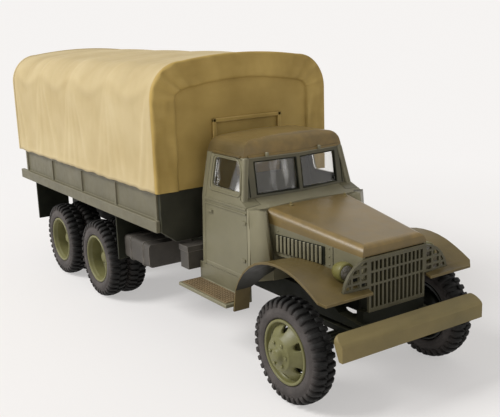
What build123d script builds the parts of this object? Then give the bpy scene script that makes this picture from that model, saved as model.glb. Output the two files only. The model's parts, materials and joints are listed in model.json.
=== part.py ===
"""Scale model of a six-wheel-drive military cargo truck with a moulded canvas cover, at 1:48.

Frame: +X forward, +Y to the truck's left, +Z up, millimetres. The origin is on the ground,
in the middle of the length and width.
"""
from build123d import *
import math
import os

# Overall length and axles
LENGTH = 137.3
FRONT_X = LENGTH / 2
REAR_X = -LENGTH / 2
FRONT_OVERHANG = 13.05
WHEELBASE = 86.95
TANDEM = 24.0
FRONT_AXLE_X = FRONT_X - FRONT_OVERHANG
BOGIE_X = FRONT_AXLE_X - WHEELBASE
MID_AXLE_X = BOGIE_X + TANDEM / 2
REAR_AXLE_X = BOGIE_X - TANDEM / 2

# How many flats an arc of a moulding is cut into
ARC_FLATS = 5

# Tyres: a faceted crown with lugs cut in from both shoulders
TYRE_RADIUS = 9.64
TYRE_WIDTH = 4.4
LUG_COUNT = 36
LUG_PITCH = 2 * math.pi / LUG_COUNT
LUG_TIP_RADIUS = 9.4
LUG_ROOT_RADIUS = 8.55
AXLE_Z = TYRE_RADIUS * math.cos(LUG_PITCH / 2)

# Wheels: distances along the axle are from the middle of the tyre, outwards
RIM_RADIUS = 5.9
RIM_WALL = 0.6
RIM_WIDTH = 4.0
WHEEL_SIDES = 16
SEAT_GAP = 0.02
FRONT_TYRE_Y = 16.6
OUTER_TYRE_Y = 18.9
INNER_TYRE_Y = 13.9
DISC_WALL = 0.7
DISH_ROOT = 0.7
DISH_TOP = 2.9
HUB_FACE = 3.3
HUB_RADIUS = 3.1
CAP_END = 4.1
CAP_RADIUS = 1.35
CAP_TIP_RADIUS = 1.1
HAND_HOLES = 6
HAND_HOLE_SIDES = 6
HAND_HOLE_RADIUS = 0.62
HAND_HOLE_CIRCLE = 4.3
TWIN_HUB_RADIUS = 2.4
TWIN_HUB_LENGTH = 0.7
TWIN_CAP_LENGTH = 1.3
WEB_OVERLAP = 0.3
SPINDLE_RADIUS = 0.9
SPINDLE_END = 0.6
BORE_END = 1.2
RUNNING_GAP = 0.05
END_GAP = 0.3
DRUM_RADIUS = 4.0
DRUM_LENGTH = 2.2

# Axle housings
AXLE_SIDES = 12
AXLE_TUBE_RADIUS = 1.25
HOUSING_RADIUS = 3.1
HOUSING_HALF = 2.6
HOUSING_FLAT = 1.2
FRONT_HOUSING_Y = -2.6
KNUCKLE_RADIUS = 1.9
KNUCKLE_HALF = 1.1
KNUCKLE_FLAT = 0.5

# Chassis
RAIL_Y = 8.0
RAIL_WALL = 0.8
RAIL_FLANGE = 2.2
RAIL_BOTTOM_Z = 13.2
RAIL_TOP_Z = 17.2
RAIL_REAR_X = REAR_X + 2.4
HORN_START_X = FRONT_AXLE_X - 1.5
HORN_RUN = 3.5
HORN_TOP_Z = 14.9
HORN_END_Z = 13.7
CROSS_WIDTH = 1.8
CROSS_WALL = 1.0
CROSS_STEP = 1.4
RADIATOR_SEAT_Z = 16.4

# Springs
SPRING_Y = 6.6
SPRING_WIDTH = 1.5
SPRING_LEAF = 0.4
SPRING_LEAVES = 3
LEAF_STEP = 0.27
FRONT_SPRING_SPAN = 9.6
FRONT_SPRING_END_Z = 12.5
BOGIE_SPRING_Z = 11.7
BOGIE_SPRING_LAP = 0.6
HANGER_WIDTH = 1.4
TRUNNION_WIDTH = 3.4

# Front bumper
BUMPER_HALF = 16.6
BUMPER_BOTTOM_Z = 11.5
BUMPER_CREASE_Z = 14.3
BUMPER_TOP_Z = 15.8
BUMPER_DEPTH = 2.1
BUMPER_WALL = 0.9
BUMPER_BEND = 0.9
BUMPER_CORNER = 1.2

# Engine and gearbox
ENGINE_X = (FRONT_AXLE_X - 11.5, FRONT_AXLE_X + 2.5)
ENGINE_HALF = 3.6
ENGINE_BOTTOM_Z = RAIL_BOTTOM_Z + 1.0
ENGINE_TOP_Z = 23.5
SUMP_X = (FRONT_AXLE_X - 10.0, FRONT_AXLE_X - 5.2)
SUMP_HALF = 2.6
SUMP_DEPTH = 2.2
GEARBOX_REAR_X = FRONT_AXLE_X - 23.0
GEARBOX_HALF = 2.2

# Radiator, grille and brush guards
RADIATOR_BACK_X = FRONT_AXLE_X + 5.6
GRILLE_BACK_X = FRONT_AXLE_X + 7.75
GRILLE_DEPTH = 0.55
GRILLE_HALF = 6.6
GRILLE_BOTTOM_Z = 16.45
GRILLE_TOP_Z = 26.1
GRILLE_EDGE = 0.5
GRILLE_BAR = 0.38
GRILLE_BARS = 12
GRILLE_CROSS_Z = (21.3, 23.6)
GUARD_REACH = 5.7
GUARD_BOTTOM_Z = 20.9
GUARD_BAR = 0.42
GUARD_COLUMNS = 3
GUARD_ROWS = 4
GUARD_BULGE = (0.72, 0.64)

# Bonnet and its side panels
HOOD_REAR_X = FRONT_AXLE_X - 16.3
HOOD_FRONT_X = FRONT_AXLE_X + 7.7
HOOD_REAR_HALF = 10.45
HOOD_FRONT_HALF = 7.5
HOOD_REAR_TOP_Z = 31.1
HOOD_FRONT_TOP_Z = 28.0
HOOD_REAR_EDGE_Z = 28.4
HOOD_FRONT_EDGE_Z = 26.2
HOOD_SHOULDER = 1.7
HOOD_NOSE = 1.6
HOOD_WALL = 0.6
HOOD_SEAM = 0.1
HOOD_OVERRUN = 0.4
HOOD_REACH = 1.2 * (HOOD_FRONT_X - HOOD_REAR_X)
HOOD_SIDE_RAKE = 2.2
HOOD_SIDE_BOTTOM_Z = 22.4
LOUVRE_COUNT = 12
LOUVRE_FIRST_X = FRONT_AXLE_X - 13.0
LOUVRE_PITCH = 1.0
LOUVRE_WIDTH = 0.6
LOUVRE_PROUD = 0.42
LOUVRE_SLOT = 0.3
LOUVRE_Z = (23.3, 26.5)

# Front fenders
FENDER_HALF = 18.07
FENDER_WALL = 0.5
FENDER_TIP_CUT = 1.1
FENDER_GAP = 0.05
FENDER_BOARD_LAP = 1.2
FENDER_COWL_LEAD = 0.8
GUARD_GAP = 0.1

# Headlamps
LAMP_SIDES = 16
LAMP_X = FRONT_AXLE_X + 6.1
LAMP_Y = 9.75
LAMP_Z = 23.7
LAMP_RADIUS = 1.65
LAMP_LENGTH = 3.2
LAMP_FOOT = (1.0, 1.0)
LAMP_FOOT_Z = 22.48
LENS_RADIUS = 1.45
LENS_DEPTH = 0.4

# Cab
CAB_BACK_X = FRONT_AXLE_X - 33.8
CAB_BOTTOM_Z = 17.3
CAB_BOTTOM_HALF = 14.6
BELT_Z = 31.3
BELT_HALF = 13.9
ROOF_EDGE_Z = 40.2
ROOF_EDGE_HALF = 12.1
ROOF_TOP_Z = 43.9
ROOF_SPARE = 0.3
ROOF_SHOULDER_DROP = 0.8
ROOF_ROLL = 3.5
ROOF_SHOULDER = 2.4
CAB_REAR_CORNER = 2.6
CAB_WALL = 0.9
FLOOR_OVERRUN = 1.0
GUTTER = 0.35
COWL_SIDE_X = FRONT_AXLE_X - 16.7
COWL_CORNER = 1.6
SWEEP = 0.1
SWEEP_LEAD = SWEEP * HOOD_REAR_HALF
SCREEN_BASE_X = FRONT_AXLE_X - 19.6
SCREEN_TOP_X = FRONT_AXLE_X - 20.6
SCREEN_Z = (33.1, 39.25)
SCREEN_HALF = 9.85
SCREEN_POST = 0.8
SCREEN_SILL = 0.6
GLASS_WALL = 0.4
GLASS_GAP = 0.05
GLASS_INSET = 0.4
DOOR_FRONT_X = FRONT_AXLE_X - 17.1
DOOR_LEAN = 0.4
DOOR_REAR_X = CAB_BACK_X + 1.6
DOOR_BOTTOM_Z = 18.2
DOOR_FRAME = 0.9
DOOR_HEAD_GAP = 0.2
PANEL_SEAM = 0.12
FIREWALL_X = DOOR_FRONT_X + DOOR_LEAN + PANEL_SEAM
FIREWALL_WALL = 0.6
FIREWALL_TOP_Z = 29.1
SIDE_WINDOW_Z = (33.75, 38.2, 39.5)
SIDE_WINDOW_REAR_X = CAB_BACK_X + 3.3
SIDE_WINDOW_FRONT_X = FRONT_AXLE_X - 19.4
SIDE_WINDOW_LEAN = (1.4, 3.2)
SIDE_WINDOW_CORNER = 0.8
REAR_WINDOW_HALF = 5.6
REAR_WINDOW_Z = (34.2, 38.6)
MOULDING_PROUD = 0.22
HANDLE_Z = 28.5

# Cab inside
BENCH_HALF = 11.5
DASH_DEPTH = 1.6
DASH_GAP = 0.45
DASH_END_GAP = 0.7
DASH_BOTTOM_Z = 25.2
STEERING_RADIUS = 3.4
STEERING_RIM = 0.5
STEERING_SIDES = 14
STEERING_TILT = -55
STEERING_REACH = 6.7
STEERING_Y = 6.6
STEERING_Z = 29.3
COLUMN_RADIUS = 0.35
COLUMN_LENGTH = 6.0

# Running boards
BOARD_Z = 13.7
BOARD_WALL = 0.75
BOARD_HALF = 19.7
BOARD_REAR_X = FRONT_AXLE_X - 35.05
BOARD_FRONT_X = FRONT_AXLE_X - 16.85
APRON_Y = CAB_BOTTOM_HALF - 0.2
APRON_WALL = 0.7

# Load bed
SILL_HALF = 21.8
SILL_Z = (23.4, 25.9)
SILL_FRONT_GAP = 0.4
BED_FRONT_X = FRONT_AXLE_X - 39.1
BED_REAR_X = REAR_X + 2.75
BED_HALF = SILL_HALF - 1.0
BED_WALL = 1.0
BED_FLOOR_Z = 25.0
BED_FLOOR_WALL = 1.5
BED_TOP_Z = 31.9
SKIRT_BOTTOM_Z = 20.9
SKIRT_BOTTOM_HALF = SILL_HALF - 4.4
RIB_PROUD = 0.45
RIB_WIDTH = 0.9
RIB_COUNT = 5
GATE_RIBS = 4
RAIL_CAP = 0.7
CROSS_SILL_WIDTH = 1.4
STRINGER_WIDTH = 1.6

# Canvas cover
CANVAS_FRONT_X = FRONT_AXLE_X - 37.8
CANVAS_REAR_X = REAR_X + 0.2
CANVAS_HALF = SILL_HALF
CANVAS_EAVE_Z = 50.6
CANVAS_SHOULDER_Z = 58.0
CANVAS_TOP_Z = 59.1
CANVAS_SHOULDER_HALF = 14.6
CANVAS_BULGE = 0.29
CANVAS_WALL = 1.3
CANVAS_END_WALL = 1.2
CANVAS_BORDER = 5.0
CANVAS_RECESS = 0.5
FLAP_Y = (-8.0, 9.5)
FLAP_Z = (41.0, 46.0)
FLAP_PROUD = 0.3
FLAP_HEM = 0.85

# Splash guards, tank, tool box, towing pintle and spare wheel
SPLASH_WALL = 0.6
SPLASH_FRONT_X = FRONT_AXLE_X - 62.0
SPLASH_REAR_X = FRONT_AXLE_X - 115.5
SPLASH_Y = (11.5, SILL_HALF - 1.2)
SPLASH_BOTTOM_Z = 12.4
TANK_X = (SPLASH_FRONT_X + 0.1, FRONT_AXLE_X - 49.5)
TANK_OUT = 19.0
TANK_Z = (12.8, 18.2)
TANK_ROUND = 0.9
STRAP_WIDTH = 0.9
STRAP_PROUD = 0.2
BOX_X = (FRONT_AXLE_X - 38.6, FRONT_AXLE_X - 35.3)
BOX_OUT = 17.0
BOX_Z = (15.6, 20.6)
BOX_LID = 1.2
BOX_LID_PROUD = 0.2
PINTLE_HALF = 1.1
PINTLE_LENGTH = 2.2
PINTLE_BORE_RADIUS = 0.6
PINTLE_Z = 15.2
SPARE_X = FRONT_AXLE_X - 51.9
SPARE_Y = 15.0
SPARE_Z = 13.6
SPARE_ARM = (1.2, 1.0, 2.6)


def block(x, y, z):
    """A box between three (low, high) pairs."""
    size = [b - a for a, b in (x, y, z)]
    centre = [(a + b) / 2 for a, b in (x, y, z)]
    return Pos(*centre) * Box(*size)


def outline(points):
    """A flat face inside a closed line through the points."""
    return make_face(Polyline(*points, close=True))


def flats(face):
    """The face with each of its arcs cut into equal flats."""
    points = []
    for edge in face.face().outer_wire().order_edges():
        steps = 1 if edge.geom_type == GeomType.LINE else ARC_FLATS
        points += [edge @ (step / steps) for step in range(steps)]
    return outline(points)


def along_x(face, x):
    """A (y, z) face pulled from x[0] to x[1]."""
    return extrude(Plane.YZ.offset(x[0]) * face, amount=x[1] - x[0])


def along_y(face, y):
    """An (x, z) face pulled from y[0] to y[1]."""
    return extrude(Plane.XZ.offset(-y[1]) * face, amount=y[1] - y[0])


def along_z(face, z):
    """An (x, y) face pulled from z[0] to z[1]."""
    return extrude(Plane.XY.offset(z[0]) * face, amount=z[1] - z[0])


def mirrored(shape):
    """The piece's mirror image on the truck's other side."""
    return mirror(shape, about=Plane.XZ)


def both_sides(shape):
    """The piece and its mirror image, as two solids."""
    return Compound(children=[shape, mirrored(shape)])


def ring(y, radius, sides, phase=0.0):
    """Points evenly round the Y axis."""
    angles = [phase + 2 * math.pi * k / sides for k in range(sides)]
    return [(radius * math.cos(angle), y, radius * math.sin(angle)) for angle in angles]


def facet(*points):
    return Face(Wire.make_polygon(points))


def turned(stations, sides):
    """A many-sided turned form about Y, from (y, radius) stations."""
    rings = [ring(y, radius, sides) for y, radius in stations]
    faces = [facet(*rings[0]), facet(*rings[-1])]
    for near, far in zip(rings[:-1], rings[1:]):
        for k in range(sides):
            faces.append(facet(near[k], near[k - 1], far[k - 1], far[k]))
    return Solid(Shell(faces))


def save(shape, node):
    export_step(shape, f"parts/{node}.step")


os.makedirs("parts", exist_ok=True)


# Tyre: flat facets from the crown to lug tips and roots, in step with the crown on one shoulder only
def lugged_tyre():
    half = TYRE_WIDTH / 2
    crown = ring(0, TYRE_RADIUS, LUG_COUNT, LUG_PITCH / 2)
    bead_radius = RIM_RADIUS + SEAT_GAP
    beads = [ring(-half, bead_radius, WHEEL_SIDES), ring(half, bead_radius, WHEEL_SIDES)]
    faces = []
    for k in range(WHEEL_SIDES):
        faces.append(facet(beads[0][k], beads[0][k - 1], beads[1][k - 1], beads[1][k]))
    # columns: shoulder's y, radius beside the crown's corners, radius between them, bead
    shoulders = [
        (half, LUG_TIP_RADIUS, LUG_ROOT_RADIUS, beads[1]),
        (-half, LUG_ROOT_RADIUS, LUG_TIP_RADIUS, beads[0]),
    ]
    for y, beside_radius, between_radius, bead in shoulders:
        beside = ring(y, beside_radius, LUG_COUNT, LUG_PITCH / 2)
        between = ring(y, between_radius, LUG_COUNT, LUG_PITCH)
        for k in range(LUG_COUNT):
            faces.append(facet(crown[k], crown[(k + 1) % LUG_COUNT], between[k]))
            faces.append(facet(crown[k], between[k], beside[k]))
            faces.append(facet(crown[k], beside[k], between[k - 1]))
        edge = [point for pair in zip(beside, between) for point in pair]
        faces.append(Face(Wire.make_polygon(edge), [Wire.make_polygon(bead)]))
    return Solid(Shell(faces))


def hand_holes(y):
    """Cutters for the holes round a wheel disc, from y[0] to y[1]."""
    holes = []
    for x, _, z in ring(0, HAND_HOLE_CIRCLE, HAND_HOLES, math.pi / HAND_HOLES):
        hole = turned([(y[0], HAND_HOLE_RADIUS), (y[1], HAND_HOLE_RADIUS)], HAND_HOLE_SIDES)
        holes.append(Pos(x, 0, z) * hole)
    return holes


def rim_ring(y):
    """The barrel under one tyre, from y[0] to y[1]."""
    barrel = turned([(y[0], RIM_RADIUS), (y[1], RIM_RADIUS)], WHEEL_SIDES)
    bore = turned([(y[0] - 1, RIM_RADIUS - RIM_WALL), (y[1] + 1, RIM_RADIUS - RIM_WALL)], WHEEL_SIDES)
    return barrel - bore


def axle_bore(y):
    """Cutter for the spindle's hole, from y[0] to y[1]."""
    hole = Cylinder(SPINDLE_RADIUS + RUNNING_GAP, y[1] - y[0], rotation=(90, 0, 0))
    return Pos(0, (y[0] + y[1]) / 2, 0) * hole


def front_wheel():
    """Wheel with its disc bulged out to the hub, outer face towards +Y, its tyre's middle at y = 0."""
    half = RIM_WIDTH / 2
    root_radius = RIM_RADIUS - RIM_WALL / 2
    dish_back = DISH_TOP - DISC_WALL
    dish_stations = [(DISH_ROOT - DISC_WALL, root_radius), (DISH_ROOT, root_radius), (DISH_TOP, HUB_RADIUS)]
    dish = turned(dish_stations, WHEEL_SIDES)
    hollow = turned([(DISH_ROOT - DISC_WALL - 1, root_radius + 1), (dish_back, HUB_RADIUS)], WHEEL_SIDES)
    wheel = rim_ring((-half, half)) + (dish - hollow)
    wheel = wheel - hand_holes((0, half))
    wheel = wheel + turned([(dish_back, HUB_RADIUS), (HUB_FACE, HUB_RADIUS)], WHEEL_SIDES)
    wheel = wheel + turned([(HUB_FACE, CAP_RADIUS), (CAP_END, CAP_TIP_RADIUS)], AXLE_SIDES)
    drum_end = DRUM_LENGTH - half
    drum_stations = [(-half, DRUM_RADIUS), (drum_end, DRUM_RADIUS), (dish_back, HUB_RADIUS)]
    wheel = wheel + turned(drum_stations, WHEEL_SIDES)
    return wheel - axle_bore((-half - 1, BORE_END))


def twin_wheel():
    """Two rims back to back on one disc, outer face towards +Y, y = 0 between the tyres."""
    half = RIM_WIDTH / 2
    apart = (OUTER_TYRE_Y - INNER_TYRE_Y) / 2
    face = apart - half + WEB_OVERLAP
    waist = RIM_RADIUS - RIM_WALL / 2
    wheel = rim_ring((apart - half, apart + half)) + rim_ring((-apart - half, -apart + half))
    wheel = wheel + turned([(-face, waist), (face, waist)], WHEEL_SIDES)
    wheel = wheel - hand_holes((-half, half))
    hub_end = face + TWIN_HUB_LENGTH
    wheel = wheel + turned([(face, TWIN_HUB_RADIUS), (hub_end, TWIN_HUB_RADIUS)], WHEEL_SIDES)
    wheel = wheel + turned([(hub_end, CAP_RADIUS), (hub_end + TWIN_CAP_LENGTH, CAP_RADIUS)], AXLE_SIDES)
    wheel = wheel + turned([(-face - DRUM_LENGTH, DRUM_RADIUS), (-face, DRUM_RADIUS)], WHEEL_SIDES)
    return wheel - axle_bore((-face - DRUM_LENGTH - 1, face + BORE_END))


tyre = lugged_tyre()
front_rim = front_wheel()
twin_rim = twin_wheel()
twin_y = (OUTER_TYRE_Y + INNER_TYRE_Y) / 2
twin_tyres = Compound(children=[
    Pos(0, OUTER_TYRE_Y - twin_y, 0) * tyre,
    Pos(0, INNER_TYRE_Y - twin_y, 0) * tyre,
])

# columns: name, axle, middle of the wheel, wheel, tyres
wheel_sets = [
    ("front", FRONT_AXLE_X, FRONT_TYRE_Y, front_rim, tyre),
    ("mid", MID_AXLE_X, twin_y, twin_rim, twin_tyres),
    ("rear", REAR_AXLE_X, twin_y, twin_rim, twin_tyres),
]
for name, axle_x, middle_y, wheel, rubber in wheel_sets:
    for side, turn, sign in (("left", 0, 1), ("right", 180, -1)):
        place = Pos(axle_x, sign * middle_y, AXLE_Z) * Rot(0, 0, turn)
        save(place * wheel, f"{name}_{side}_wheel")
        save(place * rubber, f"{name}_{side}_tyre")

# Spare wheel, hung upright under the bed on the left, on an arm from the frame
spare_place = Pos(SPARE_X, SPARE_Y, SPARE_Z)
save(spare_place * front_rim, "spare_wheel")
save(spare_place * tyre, "spare_tyre")

# Chassis: two channel rails dropped to low front horns, cross-members and the spare's arm
rail_side = [
    (RAIL_REAR_X, RAIL_BOTTOM_Z),
    (FRONT_X - BUMPER_WALL, RAIL_BOTTOM_Z),
    (FRONT_X - BUMPER_WALL, HORN_END_Z),
    (HORN_START_X + HORN_RUN, HORN_TOP_Z),
    (HORN_START_X, RAIL_TOP_Z),
    (RAIL_REAR_X, RAIL_TOP_Z),
]
rail = along_y(outline(rail_side), (RAIL_Y - RAIL_FLANGE, RAIL_Y))
rail -= block(
    (RAIL_REAR_X, HORN_START_X - RAIL_WALL),
    (RAIL_Y - RAIL_FLANGE, RAIL_Y - RAIL_WALL),
    (RAIL_BOTTOM_Z + RAIL_WALL, RAIL_TOP_Z - RAIL_WALL),
)
ladder = rail + mirrored(rail)
web_y = RAIL_Y - RAIL_WALL
low_cross = (RAIL_BOTTOM_Z, RAIL_BOTTOM_Z + CROSS_WALL)
high_cross = (RAIL_BOTTOM_Z + CROSS_STEP, RAIL_TOP_Z)
full_cross = (RAIL_BOTTOM_Z, RAIL_TOP_Z)
# columns: middle x, width, (bottom, top)
cross_members = [
    (FRONT_AXLE_X + 6.7, CROSS_WIDTH, (RAIL_BOTTOM_Z, RADIATOR_SEAT_Z)),
    (FRONT_AXLE_X - 4.0, CROSS_WIDTH, low_cross),
    (FRONT_AXLE_X - 22.0, CROSS_WIDTH, low_cross),
    (FRONT_AXLE_X - 40.0, CROSS_WIDTH, high_cross),
    (FRONT_AXLE_X - 60.0, CROSS_WIDTH, high_cross),
    (BOGIE_X, 3.0, full_cross),
    (RAIL_REAR_X + CROSS_WIDTH / 2, CROSS_WIDTH, full_cross),
]
for x, width, z in cross_members:
    ladder += block((x - width / 2, x + width / 2), (-web_y, web_y), z)
arm_half, arm_low, arm_high = SPARE_ARM
ladder += block(
    (SPARE_X - arm_half, SPARE_X + arm_half),
    (web_y, SPARE_Y - RIM_WIDTH / 2),
    (SPARE_Z + arm_low, SPARE_Z + arm_high),
)
hanger_reach = FRONT_SPRING_SPAN - HANGER_WIDTH / 2
# columns: middle x, width, bottom of the front springs' hangers and of the bogie's trunnions
spring_hangers = [
    (FRONT_AXLE_X + hanger_reach, HANGER_WIDTH, FRONT_SPRING_END_Z),
    (FRONT_AXLE_X - hanger_reach, HANGER_WIDTH, FRONT_SPRING_END_Z),
    (BOGIE_X, TRUNNION_WIDTH, BOGIE_SPRING_Z + (SPRING_LEAVES - 1) * SPRING_LEAF),
]
for x, width, low in spring_hangers:
    hanger = block(
        (x - width / 2, x + width / 2),
        (SPRING_Y - SPRING_WIDTH / 2, SPRING_Y + SPRING_WIDTH / 2),
        (low, RAIL_BOTTOM_Z + RAIL_WALL),
    )
    ladder += hanger
    ladder += mirrored(hanger)
save(ladder, "chassis_frame")

# Front bumper: folded plate with a rounded bend, a sloping top band and closed ends
bumper_back_x = FRONT_X - BUMPER_DEPTH
bumper_inner_x = FRONT_X - BUMPER_WALL
plate_face = outline([
    (FRONT_X, BUMPER_BOTTOM_Z),
    (FRONT_X, BUMPER_CREASE_Z),
    (bumper_back_x, BUMPER_TOP_Z),
    (bumper_back_x, BUMPER_TOP_Z - BUMPER_WALL),
    (bumper_inner_x, BUMPER_CREASE_Z - BUMPER_WALL / 2),
    (bumper_inner_x, BUMPER_BOTTOM_Z),
])
end_face = outline([
    (FRONT_X, BUMPER_BOTTOM_Z),
    (FRONT_X, BUMPER_CREASE_Z),
    (bumper_back_x, BUMPER_TOP_Z),
    (bumper_back_x, BUMPER_CREASE_Z),
    (bumper_inner_x, BUMPER_BOTTOM_Z),
])


def rounded_bend(face):
    """The bumper's section with the bend at the crease rounded."""
    bends = [v for v in face.vertices() if abs(v.X - FRONT_X) + abs(v.Y - BUMPER_CREASE_Z) < 0.01]
    return fillet(bends, BUMPER_BEND)


bumper = along_y(rounded_bend(plate_face), (-BUMPER_HALF, BUMPER_HALF))
bumper_end = along_y(rounded_bend(end_face), (BUMPER_HALF - BUMPER_WALL, BUMPER_HALF))
bumper = bumper + bumper_end + mirrored(bumper_end)
front_form = outline([
    (-BUMPER_HALF, BUMPER_BOTTOM_Z),
    (BUMPER_HALF, BUMPER_BOTTOM_Z),
    (BUMPER_HALF, BUMPER_TOP_Z),
    (-BUMPER_HALF, BUMPER_TOP_Z),
])
front_form = fillet(front_form.vertices().group_by(Axis.Y)[-1], BUMPER_CORNER)
save(bumper & along_x(front_form, (bumper_back_x - 1, FRONT_X + 1)), "front_bumper")

# Axles: many-sided housings on tubes, with round spindles that the wheels turn on
front_tube_end = FRONT_TYRE_Y - RIM_WIDTH / 2 - END_GAP
rear_tube_end = twin_y - (OUTER_TYRE_Y - INNER_TYRE_Y - RIM_WIDTH) / 2 - WEB_OVERLAP - DRUM_LENGTH - END_GAP
# columns: node, axle x, housing y, tube end, spindle end, whether it has knuckles
axles = [
    ("front_axle", FRONT_AXLE_X, FRONT_HOUSING_Y, front_tube_end, FRONT_TYRE_Y + SPINDLE_END, True),
    ("mid_axle", MID_AXLE_X, 0.0, rear_tube_end, twin_y + SPINDLE_END, False),
    ("rear_axle", REAR_AXLE_X, 0.0, rear_tube_end, twin_y + SPINDLE_END, False),
]
housing = turned([
    (-HOUSING_HALF, AXLE_TUBE_RADIUS),
    (-HOUSING_FLAT, HOUSING_RADIUS),
    (HOUSING_FLAT, HOUSING_RADIUS),
    (HOUSING_HALF, AXLE_TUBE_RADIUS),
], AXLE_SIDES)
knuckle = turned([
    (-KNUCKLE_HALF, AXLE_TUBE_RADIUS),
    (-KNUCKLE_FLAT, KNUCKLE_RADIUS),
    (KNUCKLE_FLAT, KNUCKLE_RADIUS),
    (KNUCKLE_HALF, AXLE_TUBE_RADIUS),
], AXLE_SIDES)
for node, axle_x, housing_y, tube_end, spindle_end, steered in axles:
    axle = turned([(-tube_end, AXLE_TUBE_RADIUS), (tube_end, AXLE_TUBE_RADIUS)], AXLE_SIDES)
    axle += Pos(0, housing_y, 0) * housing
    if steered:
        axle += Pos(0, tube_end - KNUCKLE_HALF, 0) * knuckle
        axle += Pos(0, KNUCKLE_HALF - tube_end, 0) * knuckle
    axle += Cylinder(SPINDLE_RADIUS, 2 * spindle_end, rotation=(90, 0, 0))
    save(Pos(axle_x, 0, AXLE_Z) * axle, node)

# Leaf springs: packs of stepped leaves, bowed as on the truck
axle_top_z = AXLE_Z + AXLE_TUBE_RADIUS


def leaf_pack(span, middle_z, end_z):
    """Stepped leaves seen from the side: the long one's top is at middle_z and, at its ends, end_z."""
    leaves = []
    for leaf in range(SPRING_LEAVES):
        reach = span * (1 - LEAF_STEP * leaf)
        drop = leaf * SPRING_LEAF * (1 if middle_z < end_z else -1)
        top = middle_z - drop
        end = top + (end_z - middle_z) * (reach / span) ** 2
        face = make_face([
            ThreePointArc((-reach, end), (0, top), (reach, end)),
            Line((reach, end), (reach, end - SPRING_LEAF)),
            ThreePointArc((reach, end - SPRING_LEAF), (0, top - SPRING_LEAF), (-reach, end - SPRING_LEAF)),
            Line((-reach, end - SPRING_LEAF), (-reach, end)),
        ])
        leaves.append(along_y(face, (-SPRING_WIDTH / 2, SPRING_WIDTH / 2)))
    return leaves[0] + leaves[1:]


front_pack = leaf_pack(FRONT_SPRING_SPAN, axle_top_z + SPRING_LEAVES * SPRING_LEAF, FRONT_SPRING_END_Z)
save(both_sides(Pos(FRONT_AXLE_X, SPRING_Y, 0) * front_pack), "front_springs")
bogie_pack = leaf_pack(TANDEM / 2 + BOGIE_SPRING_LAP, BOGIE_SPRING_Z, axle_top_z + SPRING_LEAF)
save(both_sides(Pos(BOGIE_X, SPRING_Y, 0) * bogie_pack), "bogie_springs")

# Engine with its sump, and the gearbox behind it
engine = block(ENGINE_X, (-ENGINE_HALF, ENGINE_HALF), (ENGINE_BOTTOM_Z, ENGINE_TOP_Z))
engine += block(SUMP_X, (-SUMP_HALF, SUMP_HALF), (ENGINE_BOTTOM_Z - SUMP_DEPTH, ENGINE_BOTTOM_Z))
save(engine, "engine_block")
gearbox = block(
    (GEARBOX_REAR_X, ENGINE_X[0]),
    (-GEARBOX_HALF, GEARBOX_HALF),
    (ENGINE_BOTTOM_Z, CAB_BOTTOM_Z - PANEL_SEAM),
)
save(gearbox, "gearbox")

# Radiator, and the grille in one piece with the brush guards of the headlamps
radiator_half = GRILLE_HALF - GRILLE_EDGE
radiator = block(
    (RADIATOR_BACK_X, GRILLE_BACK_X),
    (-radiator_half, radiator_half),
    (RADIATOR_SEAT_Z, GRILLE_TOP_Z - GRILLE_EDGE),
)
save(radiator, "radiator")
inner_half = GRILLE_HALF - GRILLE_EDGE
grille_x = (GRILLE_BACK_X, GRILLE_BACK_X + GRILLE_DEPTH)
through_x = (grille_x[0] - 1, grille_x[1] + 1)
grille = block(grille_x, (-GRILLE_HALF, GRILLE_HALF), (GRILLE_BOTTOM_Z, GRILLE_TOP_Z))
slot_pitch = (2 * inner_half + GRILLE_BAR) / (GRILLE_BARS + 1)
bar_z = [GRILLE_BOTTOM_Z + GRILLE_EDGE, *GRILLE_CROSS_Z, GRILLE_TOP_Z - GRILLE_EDGE]
for slot in range(GRILLE_BARS + 1):
    low = -inner_half + slot * slot_pitch
    for below, above in zip(bar_z[:-1], bar_z[1:]):
        grille -= block(
            through_x,
            (low, low + slot_pitch - GRILLE_BAR),
            (below + GRILLE_BAR / 2, above - GRILLE_BAR / 2),
        )
guard_end = GRILLE_HALF + GUARD_REACH
guard_height = GRILLE_TOP_Z - GUARD_BOTTOM_Z
bulge = (GRILLE_HALF + GUARD_BULGE[0] * GUARD_REACH, GUARD_BOTTOM_Z + GUARD_BULGE[1] * guard_height)
guard_face = make_face([
    ThreePointArc((GRILLE_HALF, GRILLE_TOP_Z), bulge, (guard_end, GUARD_BOTTOM_Z)),
    Line((guard_end, GUARD_BOTTOM_Z), (GRILLE_HALF, GUARD_BOTTOM_Z)),
    Line((GRILLE_HALF, GUARD_BOTTOM_Z), (GRILLE_HALF, GRILLE_TOP_Z)),
])
guard_face = flats(guard_face)
opening = along_x(offset(guard_face, -GUARD_BAR), through_x)
for column in range(1, GUARD_COLUMNS):
    y = GRILLE_HALF + column * GUARD_REACH / GUARD_COLUMNS
    opening -= block(through_x, (y - GUARD_BAR / 2, y + GUARD_BAR / 2), (GUARD_BOTTOM_Z, GRILLE_TOP_Z))
for row in range(1, GUARD_ROWS):
    z = GUARD_BOTTOM_Z + row * guard_height / GUARD_ROWS
    opening -= block(through_x, (GRILLE_HALF, guard_end), (z - GUARD_BAR / 2, z + GUARD_BAR / 2))
guard = along_x(guard_face, grille_x) - opening
save(grille + guard + mirrored(guard), "grille_guard")

# Bonnet top: a tapered, sloping form with a rolled nose and rounded shoulders, open below
hood_run = HOOD_FRONT_X - HOOD_REAR_X
hood_taper = (HOOD_REAR_HALF - HOOD_FRONT_HALF) / hood_run
hood_fall = (HOOD_REAR_TOP_Z - HOOD_FRONT_TOP_Z) / hood_run


def hood_half_at(x):
    return HOOD_REAR_HALF - (x - HOOD_REAR_X) * hood_taper


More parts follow.
